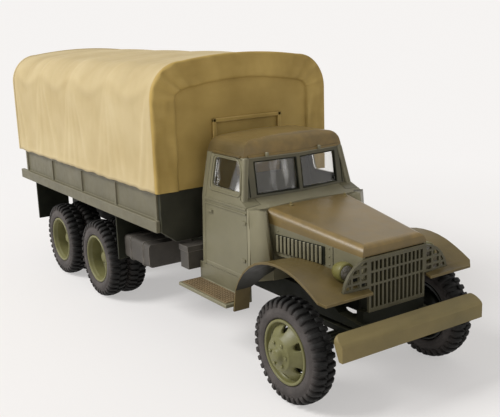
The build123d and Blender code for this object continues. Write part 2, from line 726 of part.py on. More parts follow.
def hood_form(inset, overrun):
    """The bonnet's outside, or the hollow when inset by the wall and overrun through the open sides."""
    rear_x = HOOD_REAR_X + HOOD_SEAM - overrun
    front_x = HOOD_FRONT_X - inset
    side = outline([
        (rear_x, HOOD_REAR_EDGE_Z - overrun),
        (rear_x, HOOD_REAR_TOP_Z - inset),
        (front_x, HOOD_FRONT_TOP_Z - inset),
        (front_x, HOOD_FRONT_EDGE_Z - overrun),
    ])
    nose = [v for v in side.vertices() if v.X > front_x - 0.01 and v.Y > HOOD_FRONT_EDGE_Z]
    side = flats(fillet(nose, HOOD_NOSE - inset / 2))
    half = hood_half_at(rear_x) - inset
    section = outline([
        (-half, HOOD_SIDE_BOTTOM_Z),
        (half, HOOD_SIDE_BOTTOM_Z),
        (half, HOOD_REAR_TOP_Z - inset),
        (-half, HOOD_REAR_TOP_Z - inset),
    ])
    shoulder = section.vertices().group_by(Axis.Y)[-1].sort_by(Axis.X)[-1]
    section = flats(fillet(shoulder, HOOD_SHOULDER - inset / 2))
    along_edge = Vector(1, -hood_taper, -hood_fall)
    left = extrude(Plane.YZ.offset(rear_x) * section, amount=HOOD_REACH, dir=along_edge)
    return along_y(side, (-HOOD_REAR_HALF - 1, HOOD_REAR_HALF + 1)) & left & mirrored(left)


save(hood_form(0, 0) - hood_form(HOOD_WALL, HOOD_OVERRUN), "hood")

# Bonnet side panels with a row of pressed louvres, each open at its rear
side_plan = outline([
    (HOOD_REAR_X, HOOD_REAR_HALF),
    (HOOD_FRONT_X, HOOD_FRONT_HALF),
    (HOOD_FRONT_X, HOOD_FRONT_HALF - HOOD_WALL),
    (HOOD_REAR_X, HOOD_REAR_HALF - HOOD_WALL),
])
side_form = outline([
    (HOOD_REAR_X + HOOD_SIDE_RAKE + HOOD_SEAM, HOOD_SIDE_BOTTOM_Z),
    (HOOD_FRONT_X, HOOD_SIDE_BOTTOM_Z),
    (HOOD_FRONT_X, HOOD_FRONT_EDGE_Z),
    (HOOD_REAR_X + HOOD_SEAM, HOOD_REAR_EDGE_Z),
])
hood_side = along_z(side_plan, (HOOD_SIDE_BOTTOM_Z, HOOD_REAR_EDGE_Z + 1))
hood_side = hood_side & along_y(side_form, (0, HOOD_REAR_HALF + 1))
for louvre in range(LOUVRE_COUNT):
    x = LOUVRE_FIRST_X + louvre * LOUVRE_PITCH
    y = hood_half_at(x)
    fin = outline([
        (x, y - HOOD_WALL / 2),
        (x + LOUVRE_WIDTH, y - HOOD_WALL / 2),
        (x + LOUVRE_WIDTH, y - hood_taper),
        (x, y + LOUVRE_PROUD),
    ])
    hood_side += along_z(fin, LOUVRE_Z)
    hood_side -= block((x - LOUVRE_SLOT, x), (y - 2 * HOOD_WALL, y + HOOD_WALL), LOUVRE_Z)
save(both_sides(hood_side), "hood_sides")

# Front fenders: a skin between the arch at the outer edge and a lower arch by the bonnet
# Columns: start, middle and end of each arc, forward of the front axle and above the ground
outer_arch = [
    ((9.63, 20.5), (6.4, 22.35), (2.6, 23.95)),
    ((2.6, 23.95), (-1.8, 24.7), (-6.9, 24.2)),
    ((-6.9, 24.2), (-12.7, 21.2), (-15.8, 17.0)),
]
inner_arch = [
    ((9.63, 20.5), (6.4, 21.4), (2.6, 22.2)),
    ((2.6, 22.2), (-2.5, 22.8), (-7.5, 22.8)),
    ((-7.5, 22.8), (-12.9, 20.9), (-15.8, 17.0)),
]
arch_foot = (-17.0, 12.1)


def arch_line(arch, y):
    """The fender skin's upper and lower corners at one y, from the tip back to the foot."""
    upper = []
    for arc in arch:
        curve = ThreePointArc(*[(FRONT_AXLE_X + x, y, z) for x, z in arc])
        upper += [curve @ (step / ARC_FLATS) for step in range(ARC_FLATS)]
    upper.append(curve @ 1)
    lower = [point - (0, 0, FENDER_WALL) for point in upper]
    foot = Vector(FRONT_AXLE_X + arch_foot[0], y, arch_foot[1])
    return upper + [foot], lower + [foot + (FENDER_WALL, 0, 0)]


outer_upper, outer_lower = arch_line(outer_arch, FENDER_HALF)
inner_upper, inner_lower = arch_line(inner_arch, GRILLE_HALF)
# the four long strips of the skin: top, underside, outer edge and the edge by the bonnet
strips = [
    (outer_upper, inner_upper),
    (outer_lower, inner_lower),
    (outer_upper, outer_lower),
    (inner_upper, inner_lower),
]
skin = []
for end in (0, -1):
    skin.append(facet(outer_upper[end], inner_upper[end], inner_lower[end], outer_lower[end]))
for one, other in strips:
    for step in range(len(one) - 1):
        skin.append(facet(one[step], one[step + 1], other[step + 1]))
        skin.append(facet(one[step], other[step + 1], other[step]))
fender = Solid(Shell(skin))
tip_x = FRONT_AXLE_X + outer_arch[0][0][0] + GUARD_GAP
guard_x = (GRILLE_BACK_X - FENDER_GAP, GRILLE_BACK_X + GRILLE_DEPTH + FENDER_GAP)
cab_side_y = CAB_BOTTOM_HALF + FENDER_GAP
board_x = BOARD_FRONT_X - FENDER_BOARD_LAP
fender_plan = outline([
    (tip_x, GRILLE_HALF + 2 * GUARD_GAP),
    (guard_x[1], GRILLE_HALF + 2 * GUARD_GAP),
    (guard_x[1], guard_end + GUARD_GAP),
    (guard_x[0], guard_end + GUARD_GAP),
    (guard_x[0], hood_half_at(GRILLE_BACK_X) + FENDER_GAP),
    (HOOD_REAR_X + HOOD_SIDE_RAKE + FENDER_GAP, HOOD_REAR_HALF + FENDER_GAP),
    (COWL_SIDE_X + FENDER_COWL_LEAD, cab_side_y),
    (board_x, cab_side_y),
    (board_x, FENDER_HALF + 1),
    (tip_x - FENDER_TIP_CUT - 1, FENDER_HALF + 1),
    (tip_x, FENDER_HALF - FENDER_TIP_CUT),
])
fender = fender & along_z(fender_plan, (arch_foot[1] - 1, HOOD_REAR_EDGE_Z))
save(fender, "fender_left")
save(mirrored(fender), "fender_right")

# Headlamps: bullet shells on a foot, lens in front
shell = turned([
    (0, LAMP_RADIUS),
    (0.4 * LAMP_LENGTH, LAMP_RADIUS),
    (0.75 * LAMP_LENGTH, 0.75 * LAMP_RADIUS),
    (LAMP_LENGTH, 0.3 * LAMP_RADIUS),
], LAMP_SIDES)
lamp = Pos(LAMP_X, LAMP_Y, LAMP_Z) * Rot(0, 0, 90) * shell
foot_x = LAMP_X - LAMP_LENGTH / 2
lamp += block(
    (foot_x - LAMP_FOOT[0] / 2, foot_x + LAMP_FOOT[0] / 2),
    (LAMP_Y - LAMP_FOOT[1] / 2, LAMP_Y + LAMP_FOOT[1] / 2),
    (LAMP_FOOT_Z, LAMP_Z - LAMP_RADIUS / 2),
)
save(both_sides(lamp), "headlamps")
lens = turned([(-LENS_DEPTH, 0.8 * LENS_RADIUS), (0, LENS_RADIUS)], LAMP_SIDES)
save(both_sides(Pos(LAMP_X, LAMP_Y, LAMP_Z) * Rot(0, 0, 90) * lens), "headlamp_lenses")


# Cab: a hollow form cut into floor, cowl, back, roof and doors where the panels meet
def swept(face):
    """A side profile pulled out both ways from the middle, trailing back towards the sides."""
    reach = CAB_BOTTOM_HALF + 2
    left = extrude(Plane.XZ * face, amount=reach, dir=(-SWEEP, 1, 0))
    return left + mirrored(left)


def cab_form(inset, drop):
    """The cab's outside, or its inside when inset by the wall and dropped through the floor."""
    bottom = CAB_BOTTOM_Z - drop
    cowl_x = HOOD_REAR_X + SWEEP_LEAD - inset
    screen_x = (SCREEN_BASE_X + SWEEP_LEAD - inset, SCREEN_TOP_X + SWEEP_LEAD - inset)
    roof_z = ROOF_TOP_Z + ROOF_SPARE - inset
    nose_side = outline([
        (CAB_BACK_X, bottom),
        (CAB_BACK_X, roof_z),
        (screen_x[1], roof_z),
        (screen_x[1], SCREEN_Z[1]),
        (screen_x[0], SCREEN_Z[0] - SCREEN_SILL),
        (cowl_x, HOOD_REAR_TOP_Z - HOOD_SEAM - inset),
        (cowl_x, HOOD_REAR_EDGE_Z),
        (cowl_x + HOOD_SIDE_RAKE, HOOD_SIDE_BOTTOM_Z),
        (cowl_x + HOOD_SIDE_RAKE, bottom),
    ])
    roof_front = nose_side.vertices().group_by(Axis.Y)[-1].sort_by(Axis.X)[-1]
    nose_side = flats(fillet(roof_front, ROOF_ROLL))
    back_side = outline([
        (CAB_BACK_X + inset, bottom),
        (CAB_BACK_X + inset, roof_z),
        (FRONT_X, roof_z),
        (FRONT_X, bottom),
    ])
    roof_back = back_side.vertices().group_by(Axis.Y)[-1].sort_by(Axis.X)[0]
    back_side = flats(fillet(roof_back, ROOF_ROLL))
    lean = (CAB_BOTTOM_HALF - BELT_HALF) / (BELT_Z - CAB_BOTTOM_Z)
    low = CAB_BOTTOM_HALF + drop * lean - inset
    corner = ROOF_EDGE_HALF - ROOF_SHOULDER_DROP - inset
    corner_z = ROOF_TOP_Z - ROOF_SHOULDER_DROP - inset
    wall = [
        (low, bottom),
        (BELT_HALF - inset, BELT_Z),
        (ROOF_EDGE_HALF - inset, ROOF_EDGE_Z),
        (corner, corner_z),
    ]
    other_wall = [(-y, z) for y, z in reversed(wall)]
    front = make_face([
        Polyline(*other_wall, *wall),
        ThreePointArc((corner, corner_z), (0, ROOF_TOP_Z - inset), (-corner, corner_z)),
    ])
    front = flats(fillet(front.vertices().group_by(Axis.Y)[-1], ROOF_SHOULDER))
    cowl_half = HOOD_REAR_HALF - inset
    nose_x = HOOD_REAR_X + HOOD_SIDE_RAKE
    half_plan = [
        (CAB_BACK_X + inset, CAB_BOTTOM_HALF + 1 - inset),
        (COWL_SIDE_X - inset, CAB_BOTTOM_HALF + 1 - inset),
        (nose_x - 0.2 - inset, cowl_half),
        (nose_x + 2, cowl_half),
    ]
    plan = outline(half_plan + [(x, -y) for x, y in reversed(half_plan)])
    plan = fillet(plan.vertices().group_by(Axis.X)[0], CAB_REAR_CORNER)
    cowl_corners = [v for v in plan.vertices() if abs(v.X - COWL_SIDE_X + inset) < 0.01]
    plan = flats(fillet(cowl_corners, COWL_CORNER))
    form = swept(nose_side) & along_y(back_side, (-CAB_BOTTOM_HALF - 2, CAB_BOTTOM_HALF + 2))
    form = form & along_x(front, (CAB_BACK_X - 1, FRONT_X))
    form = form & along_z(plan, (bottom, ROOF_TOP_Z + 1))
    hood_x = (HOOD_REAR_X - inset, FRONT_X)
    hood_space = block(hood_x, (-BELT_HALF, BELT_HALF), (HOOD_REAR_EDGE_Z, ROOF_TOP_Z))
    return form - hood_space


cab_solid = cab_form(0, 0)
cab_shell = cab_solid - cab_form(CAB_WALL, FLOOR_OVERRUN)
wide = (-CAB_BOTTOM_HALF - 2, CAB_BOTTOM_HALF + 2)
tall = (CAB_BOTTOM_Z - 1, ROOF_TOP_Z + 2)
pane_y = (SCREEN_POST / 2, SCREEN_HALF)
screen_hole = block((SCREEN_TOP_X - 4, SCREEN_BASE_X + 2), pane_y, SCREEN_Z)
window_low, window_bend, window_high = SIDE_WINDOW_Z
bend_back, high_back = SIDE_WINDOW_LEAN
window_face = outline([
    (SIDE_WINDOW_REAR_X, window_low),
    (SIDE_WINDOW_FRONT_X, window_low),
    (SIDE_WINDOW_FRONT_X - bend_back, window_bend),
    (SIDE_WINDOW_FRONT_X - high_back, window_high),
    (SIDE_WINDOW_REAR_X, window_high),
])
window_face = flats(fillet(window_face.vertices(), SIDE_WINDOW_CORNER))
cab_shell -= [screen_hole, mirrored(screen_hole), along_y(window_face, wide)]
cab_shell -= block((CAB_BACK_X - 1, CAB_BACK_X + 3), (-REAR_WINDOW_HALF, REAR_WINDOW_HALF), REAR_WINDOW_Z)

# Cab roof with its visor lip and rain gutters
roof_zone = block((CAB_BACK_X - 1, FRONT_X), wide, (ROOF_EDGE_Z, tall[1]))
lip_x = SCREEN_TOP_X + SWEEP_LEAD
lip = swept(outline([
    (lip_x - CAB_WALL / 2, ROOF_EDGE_Z),
    (lip_x + GUTTER, ROOF_EDGE_Z),
    (lip_x + GUTTER, ROOF_EDGE_Z + GUTTER),
    (lip_x - CAB_WALL / 2, ROOF_EDGE_Z + 2 * GUTTER),
])) & block((CAB_BACK_X, FRONT_X), (1 - ROOF_EDGE_HALF, ROOF_EDGE_HALF - 1), tall)
gutter = block(
    (CAB_BACK_X + CAB_REAR_CORNER, SCREEN_TOP_X - SWEEP_LEAD),
    (ROOF_EDGE_HALF - CAB_WALL / 2, ROOF_EDGE_HALF + GUTTER),
    (ROOF_EDGE_Z, ROOF_EDGE_Z + GUTTER),
)
roof = (cab_shell & roof_zone) + lip + gutter + mirrored(gutter)
save(roof, "cab_roof")

# Doors with their belt mouldings, handles and hinges
walls = cab_shell - roof_zone
door_top_z = ROOF_EDGE_Z - DOOR_HEAD_GAP
door_face = outline([
    (DOOR_REAR_X, DOOR_BOTTOM_Z),
    (DOOR_FRONT_X + DOOR_LEAN, DOOR_BOTTOM_Z),
    (DOOR_FRONT_X - DOOR_LEAN, BELT_Z),
    (SIDE_WINDOW_FRONT_X + DOOR_FRAME, window_low - DOOR_FRAME / 2),
    (SIDE_WINDOW_FRONT_X + DOOR_FRAME - bend_back, window_bend),
    (SIDE_WINDOW_FRONT_X + DOOR_FRAME - high_back, door_top_z),
    (DOOR_REAR_X, door_top_z),
])
inner_y = ROOF_EDGE_HALF - CAB_WALL - 0.6
side_zone = block((CAB_BACK_X, FRONT_X), (inner_y, CAB_BOTTOM_HALF + 2), tall)
gap_zone = along_y(offset(door_face, PANEL_SEAM), (inner_y - PANEL_SEAM, CAB_BOTTOM_HALF + 2))
door = walls & along_y(door_face, (0, CAB_BOTTOM_HALF + 2)) & side_zone
wall_lean = (CAB_BOTTOM_HALF - BELT_HALF) / (BELT_Z - CAB_BOTTOM_Z)
# columns: start and end x, bottom and top z, how far it stands out of the door
door_trim = [
    (DOOR_REAR_X, DOOR_FRONT_X - DOOR_LEAN, BELT_Z - 0.4, BELT_Z, MOULDING_PROUD),
    (DOOR_REAR_X, DOOR_FRONT_X - DOOR_LEAN, BELT_Z - 1.3, BELT_Z - 1.0, MOULDING_PROUD),
    (DOOR_REAR_X + 1.0, DOOR_REAR_X + 2.8, HANDLE_Z, HANDLE_Z + 0.5, 2 * MOULDING_PROUD),
    (DOOR_FRONT_X - 1.6, DOOR_FRONT_X - 0.4, DOOR_BOTTOM_Z + 2.6, DOOR_BOTTOM_Z + 3.2, MOULDING_PROUD),
    (DOOR_FRONT_X - 1.6, DOOR_FRONT_X - 0.4, BELT_Z - 3.2, BELT_Z - 2.6, MOULDING_PROUD),
]
for start, end, low, high, proud in door_trim:
    surface = BELT_HALF + (BELT_Z - high) * wall_lean
    door += block((start, end), (surface - CAB_WALL / 2, surface + proud), (low, high))
save(door, "door_left")
save(mirrored(door), "door_right")

# Cab floor, back and cowl with the firewall
floor_zone = block((DOOR_REAR_X, DOOR_FRONT_X), wide, (CAB_BOTTOM_Z, DOOR_BOTTOM_Z))
posts = walls - [gap_zone, mirrored(gap_zone), floor_zone]
save(cab_solid & floor_zone, "cab_floor")
middle_x = (DOOR_REAR_X + DOOR_FRONT_X) / 2
save(posts & block((CAB_BACK_X - 1, middle_x), wide, tall), "cab_back")
firewall_zone = block((FIREWALL_X, FIREWALL_X + FIREWALL_WALL), wide, (CAB_BOTTOM_Z, FIREWALL_TOP_Z))
firewall = cab_form(CAB_WALL - 0.1, 0) & firewall_zone
save((posts & block((middle_x, FRONT_X), wide, tall)) + firewall, "cowl")

# Glass: two panes in the windscreen, one in each door and one in the back
glass_x = (SCREEN_BASE_X + SWEEP_LEAD - GLASS_INSET - 0.1, SCREEN_TOP_X + SWEEP_LEAD - GLASS_INSET + 0.1)
glass_z = (SCREEN_Z[0] + GLASS_GAP, SCREEN_Z[1] - GLASS_GAP)
screen_sheet = swept(outline([
    (glass_x[0], glass_z[0]),
    (glass_x[1], glass_z[1]),
    (glass_x[1] - GLASS_WALL, glass_z[1]),
    (glass_x[0] - GLASS_WALL, glass_z[0]),
]))
glass_y = (pane_y[0] + GLASS_GAP, pane_y[1] - GLASS_GAP)
screen_pane = screen_sheet & block((CAB_BACK_X, FRONT_X), glass_y, tall)
sheet_low = BELT_HALF - GLASS_INSET
sheet_high = ROOF_EDGE_HALF - GLASS_INSET
side_sheet = along_x(outline([
    (sheet_low, BELT_Z),
    (sheet_high, ROOF_EDGE_Z),
    (sheet_high - GLASS_WALL, ROOF_EDGE_Z),
    (sheet_low - GLASS_WALL, BELT_Z),
]), (CAB_BACK_X, FRONT_AXLE_X))
side_pane = along_y(offset(window_face, -GLASS_GAP), wide) & side_sheet
rear_pane = block(
    (CAB_BACK_X + GLASS_INSET, CAB_BACK_X + GLASS_INSET + GLASS_WALL),
    (-REAR_WINDOW_HALF + GLASS_GAP, REAR_WINDOW_HALF - GLASS_GAP),
    (REAR_WINDOW_Z[0] + GLASS_GAP, REAR_WINDOW_Z[1] - GLASS_GAP),
)
panes = [screen_pane, mirrored(screen_pane), side_pane, mirrored(side_pane), rear_pane]
save(Compound(children=panes), "cab_glass")

# Cab inside: bench, dashboard, steering wheel on its column
bench_side = outline([
    (CAB_BACK_X + 1.2, DOOR_BOTTOM_Z),
    (CAB_BACK_X + 9.0, DOOR_BOTTOM_Z),
    (CAB_BACK_X + 9.6, DOOR_BOTTOM_Z + 4.6),
    (CAB_BACK_X + 3.4, DOOR_BOTTOM_Z + 4.0),
    (CAB_BACK_X + 2.4, BELT_Z - 1.3),
    (CAB_BACK_X + 1.2, BELT_Z - 1.3),
])
save(along_y(bench_side, (-BENCH_HALF, BENCH_HALF)), "bench_seat")
dash_x = HOOD_REAR_X - CAB_WALL - DASH_GAP
dash_half = BELT_HALF - CAB_WALL - DASH_END_GAP
dashboard = block((dash_x - DASH_DEPTH, dash_x), (-dash_half, dash_half), (DASH_BOTTOM_Z, FIREWALL_TOP_Z))
save(dashboard, "dashboard")
rim_face = RegularPolygon(STEERING_RADIUS, STEERING_SIDES)
rim_face -= RegularPolygon(STEERING_RADIUS - STEERING_RIM, STEERING_SIDES)
steering = extrude(rim_face, STEERING_RIM / 2, both=True)
steering += Box(2 * STEERING_RADIUS - STEERING_RIM, STEERING_RIM, STEERING_RIM)
steering += Pos(0, 0, -COLUMN_LENGTH / 2) * Cylinder(COLUMN_RADIUS, COLUMN_LENGTH)
place = Pos(dash_x - STEERING_REACH, STEERING_Y, STEERING_Z) * Rot(0, STEERING_TILT, 0)
save(place * steering, "steering_wheel")

# Running boards with the apron up to the cab
board_profile = outline([
    (APRON_Y, BOARD_Z - BOARD_WALL),
    (BOARD_HALF, BOARD_Z - BOARD_WALL),
    (BOARD_HALF, BOARD_Z),
    (APRON_Y, BOARD_Z),
    (APRON_Y, CAB_BOTTOM_Z),
    (APRON_Y - APRON_WALL, CAB_BOTTOM_Z),
    (APRON_Y - APRON_WALL, BOARD_Z - BOARD_WALL),
])
save(both_sides(along_x(board_profile, (BOARD_REAR_X, BOARD_FRONT_X))), "running_boards")

# Bed floor on cross sills and two stringers along the frame
floor_x = (BED_REAR_X, BED_FRONT_X - BED_WALL)
floor_bottom_z = BED_FLOOR_Z - BED_FLOOR_WALL
bed_floor = block(floor_x, (-BED_HALF, BED_HALF), (floor_bottom_z, BED_FLOOR_Z))
sill_half = CROSS_SILL_WIDTH / 2
sill_x = [
    BED_FRONT_X - 4.6,
    SPLASH_FRONT_X + sill_half,
    MID_AXLE_X + 3.0,
    BOGIE_X,
    REAR_AXLE_X - 1.0,
    SPLASH_REAR_X + sill_half,
    BED_REAR_X + sill_half,
]
for x in sill_x:
    bed_floor += block(
        (x - sill_half, x + sill_half),
        (-SKIRT_BOTTOM_HALF, SKIRT_BOTTOM_HALF),
        (SKIRT_BOTTOM_Z, floor_bottom_z),
    )
for low, high in ((-RAIL_Y, -RAIL_Y + STRINGER_WIDTH), (RAIL_Y - STRINGER_WIDTH, RAIL_Y)):
    bed_floor += block(floor_x, (low, high), (RAIL_TOP_Z, SKIRT_BOTTOM_Z))
save(bed_floor, "bed_floor")

# Bed sides with their ribs, top rail and the sill along the foot
side_x = (BED_REAR_X + BED_WALL, BED_FRONT_X - BED_WALL)
bed_side = block(side_x, (BED_HALF - BED_WALL, BED_HALF), (BED_FLOOR_Z, BED_TOP_Z))
bed_side += block((REAR_X, BED_FRONT_X - SILL_FRONT_GAP), (BED_HALF, SILL_HALF), SILL_Z)
bed_side += block(side_x, (BED_HALF - BED_WALL, BED_HALF + RIB_PROUD), (BED_TOP_Z - RAIL_CAP, BED_TOP_Z))
rib_first_x = side_x[0] + RIB_WIDTH / 2
rib_pitch = (side_x[1] - side_x[0] - RIB_WIDTH) / (RIB_COUNT - 1)
for rib in range(RIB_COUNT):
    x = rib_first_x + rib * rib_pitch
    bed_side += block(
        (x - RIB_WIDTH / 2, x + RIB_WIDTH / 2),
        (BED_HALF - BED_WALL / 2, BED_HALF + RIB_PROUD),
        (SILL_Z[1], BED_TOP_Z),
    )
save(bed_side, "bed_side_left")
save(mirrored(bed_side), "bed_side_right")

# Bed front board with its skirt, and the tailgate
half_board = [(BED_HALF, BED_TOP_Z), (BED_HALF, SILL_Z[0]), (SKIRT_BOTTOM_HALF, SKIRT_BOTTOM_Z)]
board_face = outline(half_board + [(-y, z) for y, z in reversed(half_board)])
save(along_x(board_face, (BED_FRONT_X - BED_WALL, BED_FRONT_X)), "bed_front")
gate = block((BED_REAR_X, BED_REAR_X + BED_WALL), (-BED_HALF, BED_HALF), (BED_FLOOR_Z, BED_TOP_Z))
rib_x = (BED_REAR_X - RIB_PROUD, BED_REAR_X + BED_WALL / 2)
gate_pitch = (2 * BED_HALF - RIB_WIDTH) / (GATE_RIBS - 1)
for rib in range(GATE_RIBS):
    low = -BED_HALF + rib * gate_pitch
    gate += block(rib_x, (low, low + RIB_WIDTH), (BED_FLOOR_Z, BED_TOP_Z))
for low, high in ((BED_FLOOR_Z, BED_FLOOR_Z + RAIL_CAP), (BED_TOP_Z - RAIL_CAP, BED_TOP_Z)):
    gate += block(rib_x, (-BED_HALF, BED_HALF), (low, high))
save(gate, "tailgate")


# Canvas cover: one moulded tunnel with a front and a rear wall
def canvas_face(inset):
    half = CANVAS_HALF - inset
    shoulder = CANVAS_SHOULDER_HALF - inset / 2
    shoulder_z = CANVAS_SHOULDER_Z - inset
    bulge_y = half - CANVAS_BULGE * (half - shoulder)
    bulge_z = shoulder_z - CANVAS_BULGE * (shoulder_z - CANVAS_EAVE_Z)
    return flats(make_face([
        Polyline((-half, CANVAS_EAVE_Z), (-half, BED_TOP_Z), (half, BED_TOP_Z), (half, CANVAS_EAVE_Z)),
        ThreePointArc((half, CANVAS_EAVE_Z), (bulge_y, bulge_z), (shoulder, shoulder_z)),
        ThreePointArc((shoulder, shoulder_z), (0, CANVAS_TOP_Z - inset), (-shoulder, shoulder_z)),
        ThreePointArc((-shoulder, shoulder_z), (-bulge_y, bulge_z), (-half, CANVAS_EAVE_Z)),
    ]))


canvas_x = (CANVAS_REAR_X + CANVAS_END_WALL, CANVAS_FRONT_X - CANVAS_END_WALL)
tunnel = along_x(canvas_face(0), canvas_x)
tunnel -= along_x(canvas_face(CANVAS_WALL), (canvas_x[0] - 1, canvas_x[1] + 1))
save(tunnel, "canvas_cover")
recess_x = CANVAS_FRONT_X - CANVAS_RECESS
front_wall = along_x(canvas_face(0), (canvas_x[1], CANVAS_FRONT_X))
front_wall -= along_x(canvas_face(CANVAS_BORDER), (recess_x, CANVAS_FRONT_X + 1))
flap = block((canvas_x[1], recess_x + FLAP_PROUD), FLAP_Y, FLAP_Z)
flap_open_y = (FLAP_Y[0] + FLAP_HEM, FLAP_Y[1] - FLAP_HEM)
flap -= block((canvas_x[1] - 1, CANVAS_FRONT_X), flap_open_y, (FLAP_Z[0] - 1, FLAP_Z[1] - FLAP_HEM))
save(front_wall + flap, "canvas_front")
save(along_x(canvas_face(0), (CANVAS_REAR_X, canvas_x[0])), "canvas_rear")

# Splash guards before and behind the twin wheels
plates = []
for x in (SPLASH_FRONT_X, SPLASH_REAR_X):
    plate = block((x - SPLASH_WALL, x), SPLASH_Y, (SPLASH_BOTTOM_Z, floor_bottom_z))
    plates += [plate, mirrored(plate)]
save(Compound(children=plates), "splash_guards")


# Fuel tank with its straps, and the tool box with its lid, on the right-hand rail
def tank_face(proud):
    """The tank's end face, or a strap's when it stands proud of it."""
    face = outline([
        (-RAIL_Y, TANK_Z[0] - proud),
        (-RAIL_Y, TANK_Z[1] + proud),
        (-TANK_OUT - proud, TANK_Z[1] + proud),
        (-TANK_OUT - proud, TANK_Z[0] - proud),
    ])
    return flats(fillet(face.vertices().group_by(Axis.X)[0], TANK_ROUND))


tank = along_x(tank_face(0), TANK_X)
for share in (0.25, 0.75):
    x = TANK_X[0] + share * (TANK_X[1] - TANK_X[0])
    tank += along_x(tank_face(STRAP_PROUD), (x - STRAP_WIDTH / 2, x + STRAP_WIDTH / 2))
save(tank, "fuel_tank")
tool_box = block(BOX_X, (-BOX_OUT, -RAIL_Y), BOX_Z)
tool_box += block(
    (BOX_X[0] - BOX_LID_PROUD, BOX_X[1] + BOX_LID_PROUD),
    (-BOX_OUT - BOX_LID_PROUD, -RAIL_Y),
    (BOX_Z[1] - BOX_LID, BOX_Z[1]),
)
save(tool_box, "tool_box")

# Towing pintle on the rear cross-member
pintle = block(
    (RAIL_REAR_X - PINTLE_LENGTH, RAIL_REAR_X),
    (-PINTLE_HALF, PINTLE_HALF),
    (PINTLE_Z - PINTLE_HALF, PINTLE_Z + PINTLE_HALF),
)
eye = Cylinder(PINTLE_BORE_RADIUS, 4 * PINTLE_HALF, rotation=(90, 0, 0))
pintle -= Pos(RAIL_REAR_X - PINTLE_LENGTH / 2, 0, PINTLE_Z) * eye
save(pintle, "tow_pintle")
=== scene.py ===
"""Scale model of a military cargo truck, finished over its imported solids: brushed olive paint,
vinyl tyres, clear panes and a moulded canvas cover. +X is forward, +Y the truck's left, +Z up."""
import json
import math
import bmesh
import bpy
from mathutils import Matrix, Quaternion, Vector, noise

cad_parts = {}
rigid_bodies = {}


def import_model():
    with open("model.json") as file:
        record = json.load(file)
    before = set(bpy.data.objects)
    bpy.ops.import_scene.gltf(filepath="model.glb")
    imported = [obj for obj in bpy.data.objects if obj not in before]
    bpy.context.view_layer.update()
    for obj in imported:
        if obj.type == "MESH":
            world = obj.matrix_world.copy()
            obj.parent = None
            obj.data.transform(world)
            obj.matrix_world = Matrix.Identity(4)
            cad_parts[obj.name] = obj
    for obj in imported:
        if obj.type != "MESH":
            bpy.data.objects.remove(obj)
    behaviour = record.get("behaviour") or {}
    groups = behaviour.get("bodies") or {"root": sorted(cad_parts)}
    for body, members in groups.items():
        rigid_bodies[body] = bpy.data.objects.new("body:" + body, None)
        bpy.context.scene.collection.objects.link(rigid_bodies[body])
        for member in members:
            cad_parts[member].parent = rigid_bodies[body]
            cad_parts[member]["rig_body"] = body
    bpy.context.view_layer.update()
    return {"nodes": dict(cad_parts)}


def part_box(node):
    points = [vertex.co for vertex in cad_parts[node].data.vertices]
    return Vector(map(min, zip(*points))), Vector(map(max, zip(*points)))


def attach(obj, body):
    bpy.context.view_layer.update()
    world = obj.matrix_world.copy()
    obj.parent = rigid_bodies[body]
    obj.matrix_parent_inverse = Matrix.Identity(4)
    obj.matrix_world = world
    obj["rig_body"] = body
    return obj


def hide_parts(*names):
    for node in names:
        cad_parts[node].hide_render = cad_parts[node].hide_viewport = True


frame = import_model()
bpy.context.scene.view_settings.view_transform = "Standard"
MM = 0.001

# Ladder frame, axles, springs and drive train: styrene mouldings glued together under the truck
# and brushed with one coat of green so dark that it is nearly black, dusty on its edges. The horns
# that carry the bumper are dry-brushed on top.
WELD = 0.003 * MM
FLAT_ANGLE = math.radians(0.8)
CREASE_ANGLE = math.radians(26)
FRAME_ROUNDING = 0.10
FRAME_GREEN = (0.015, 0.016, 0.010)
FRAME_SHADE = (0.008, 0.009, 0.006)
FRAME_DUST = (0.070, 0.068, 0.040)
HORN_X = 56.5
DARK_SIDE_SHARE = 0.35
SHADED_SIDE_DARKNESS = 0.9
SLOPE_RUB = 0.45
EVEN = (1, 1, 1)
CLOUD_SCALE = 110
STROKE_SCALE = 520
GRAIN_SCALE = 2600
STROKE_TINT = 0.08
LEAST_RUB = 0.25
GRAIN_SHARE = 0.4
PAINT_DEPTH = 0.06


def feed(tree, value, socket):
    """Links a socket to an output, or sets it from a number, a vector or a colour."""
    if isinstance(value, bpy.types.NodeSocket):
        tree.links.new(value, socket)
    else:
        socket.default_value = (*value, 1.0) if socket.type == "RGBA" else value


def add_node(tree, kind, inputs, **settings):
    """Adds a shader node with its settings made and its inputs fed, and gives its outputs."""
    node = tree.nodes.new("ShaderNode" + kind)
    for setting, value in settings.items():
        setattr(node, setting, value)
    for socket, value in inputs.items():
        feed(tree, value, node.inputs[socket])
    return node.outputs


def new_finish(name):
    """A new material, with its node tree and its shader's inputs."""
    material = bpy.data.materials.new(name)
    material.use_nodes = True
    return material, material.node_tree, material.node_tree.nodes["Principled BSDF"].inputs


def patches(tree, scale, stretch, low, high):
    """Soft patches from 0 to 1, a noise on the object's own coordinates, drawn out along its axes."""
    place = add_node(tree, "TexCoord", {})["Object"]
    drawn = add_node(tree, "Mapping", {"Vector": place, "Scale": stretch})["Vector"]
    spots = add_node(tree, "TexNoise", {"Vector": drawn, "Scale": scale, "Detail": 4.0})["Fac"]
    return add_node(tree, "MapRange", {"Value": spots, "From Min": low, "From Max": high})["Result"]


def mixed(tree, share, under, over):
    """One colour laid over another by a share from 0 to 1."""
    return add_node(tree, "Mix", {0: share, 6: under, 7: over}, data_type="RGBA")[2]


def scaled(tree, value, low, high):
    """A pattern from 0 to 1 brought to the range from low to high."""
    return add_node(tree, "MapRange", {"Value": value, "To Min": low, "To Max": high})["Result"]


def product(tree, first, second):
    """Two values multiplied."""
    return add_node(tree, "Math", {0: first, 1: second}, operation="MULTIPLY")["Value"]


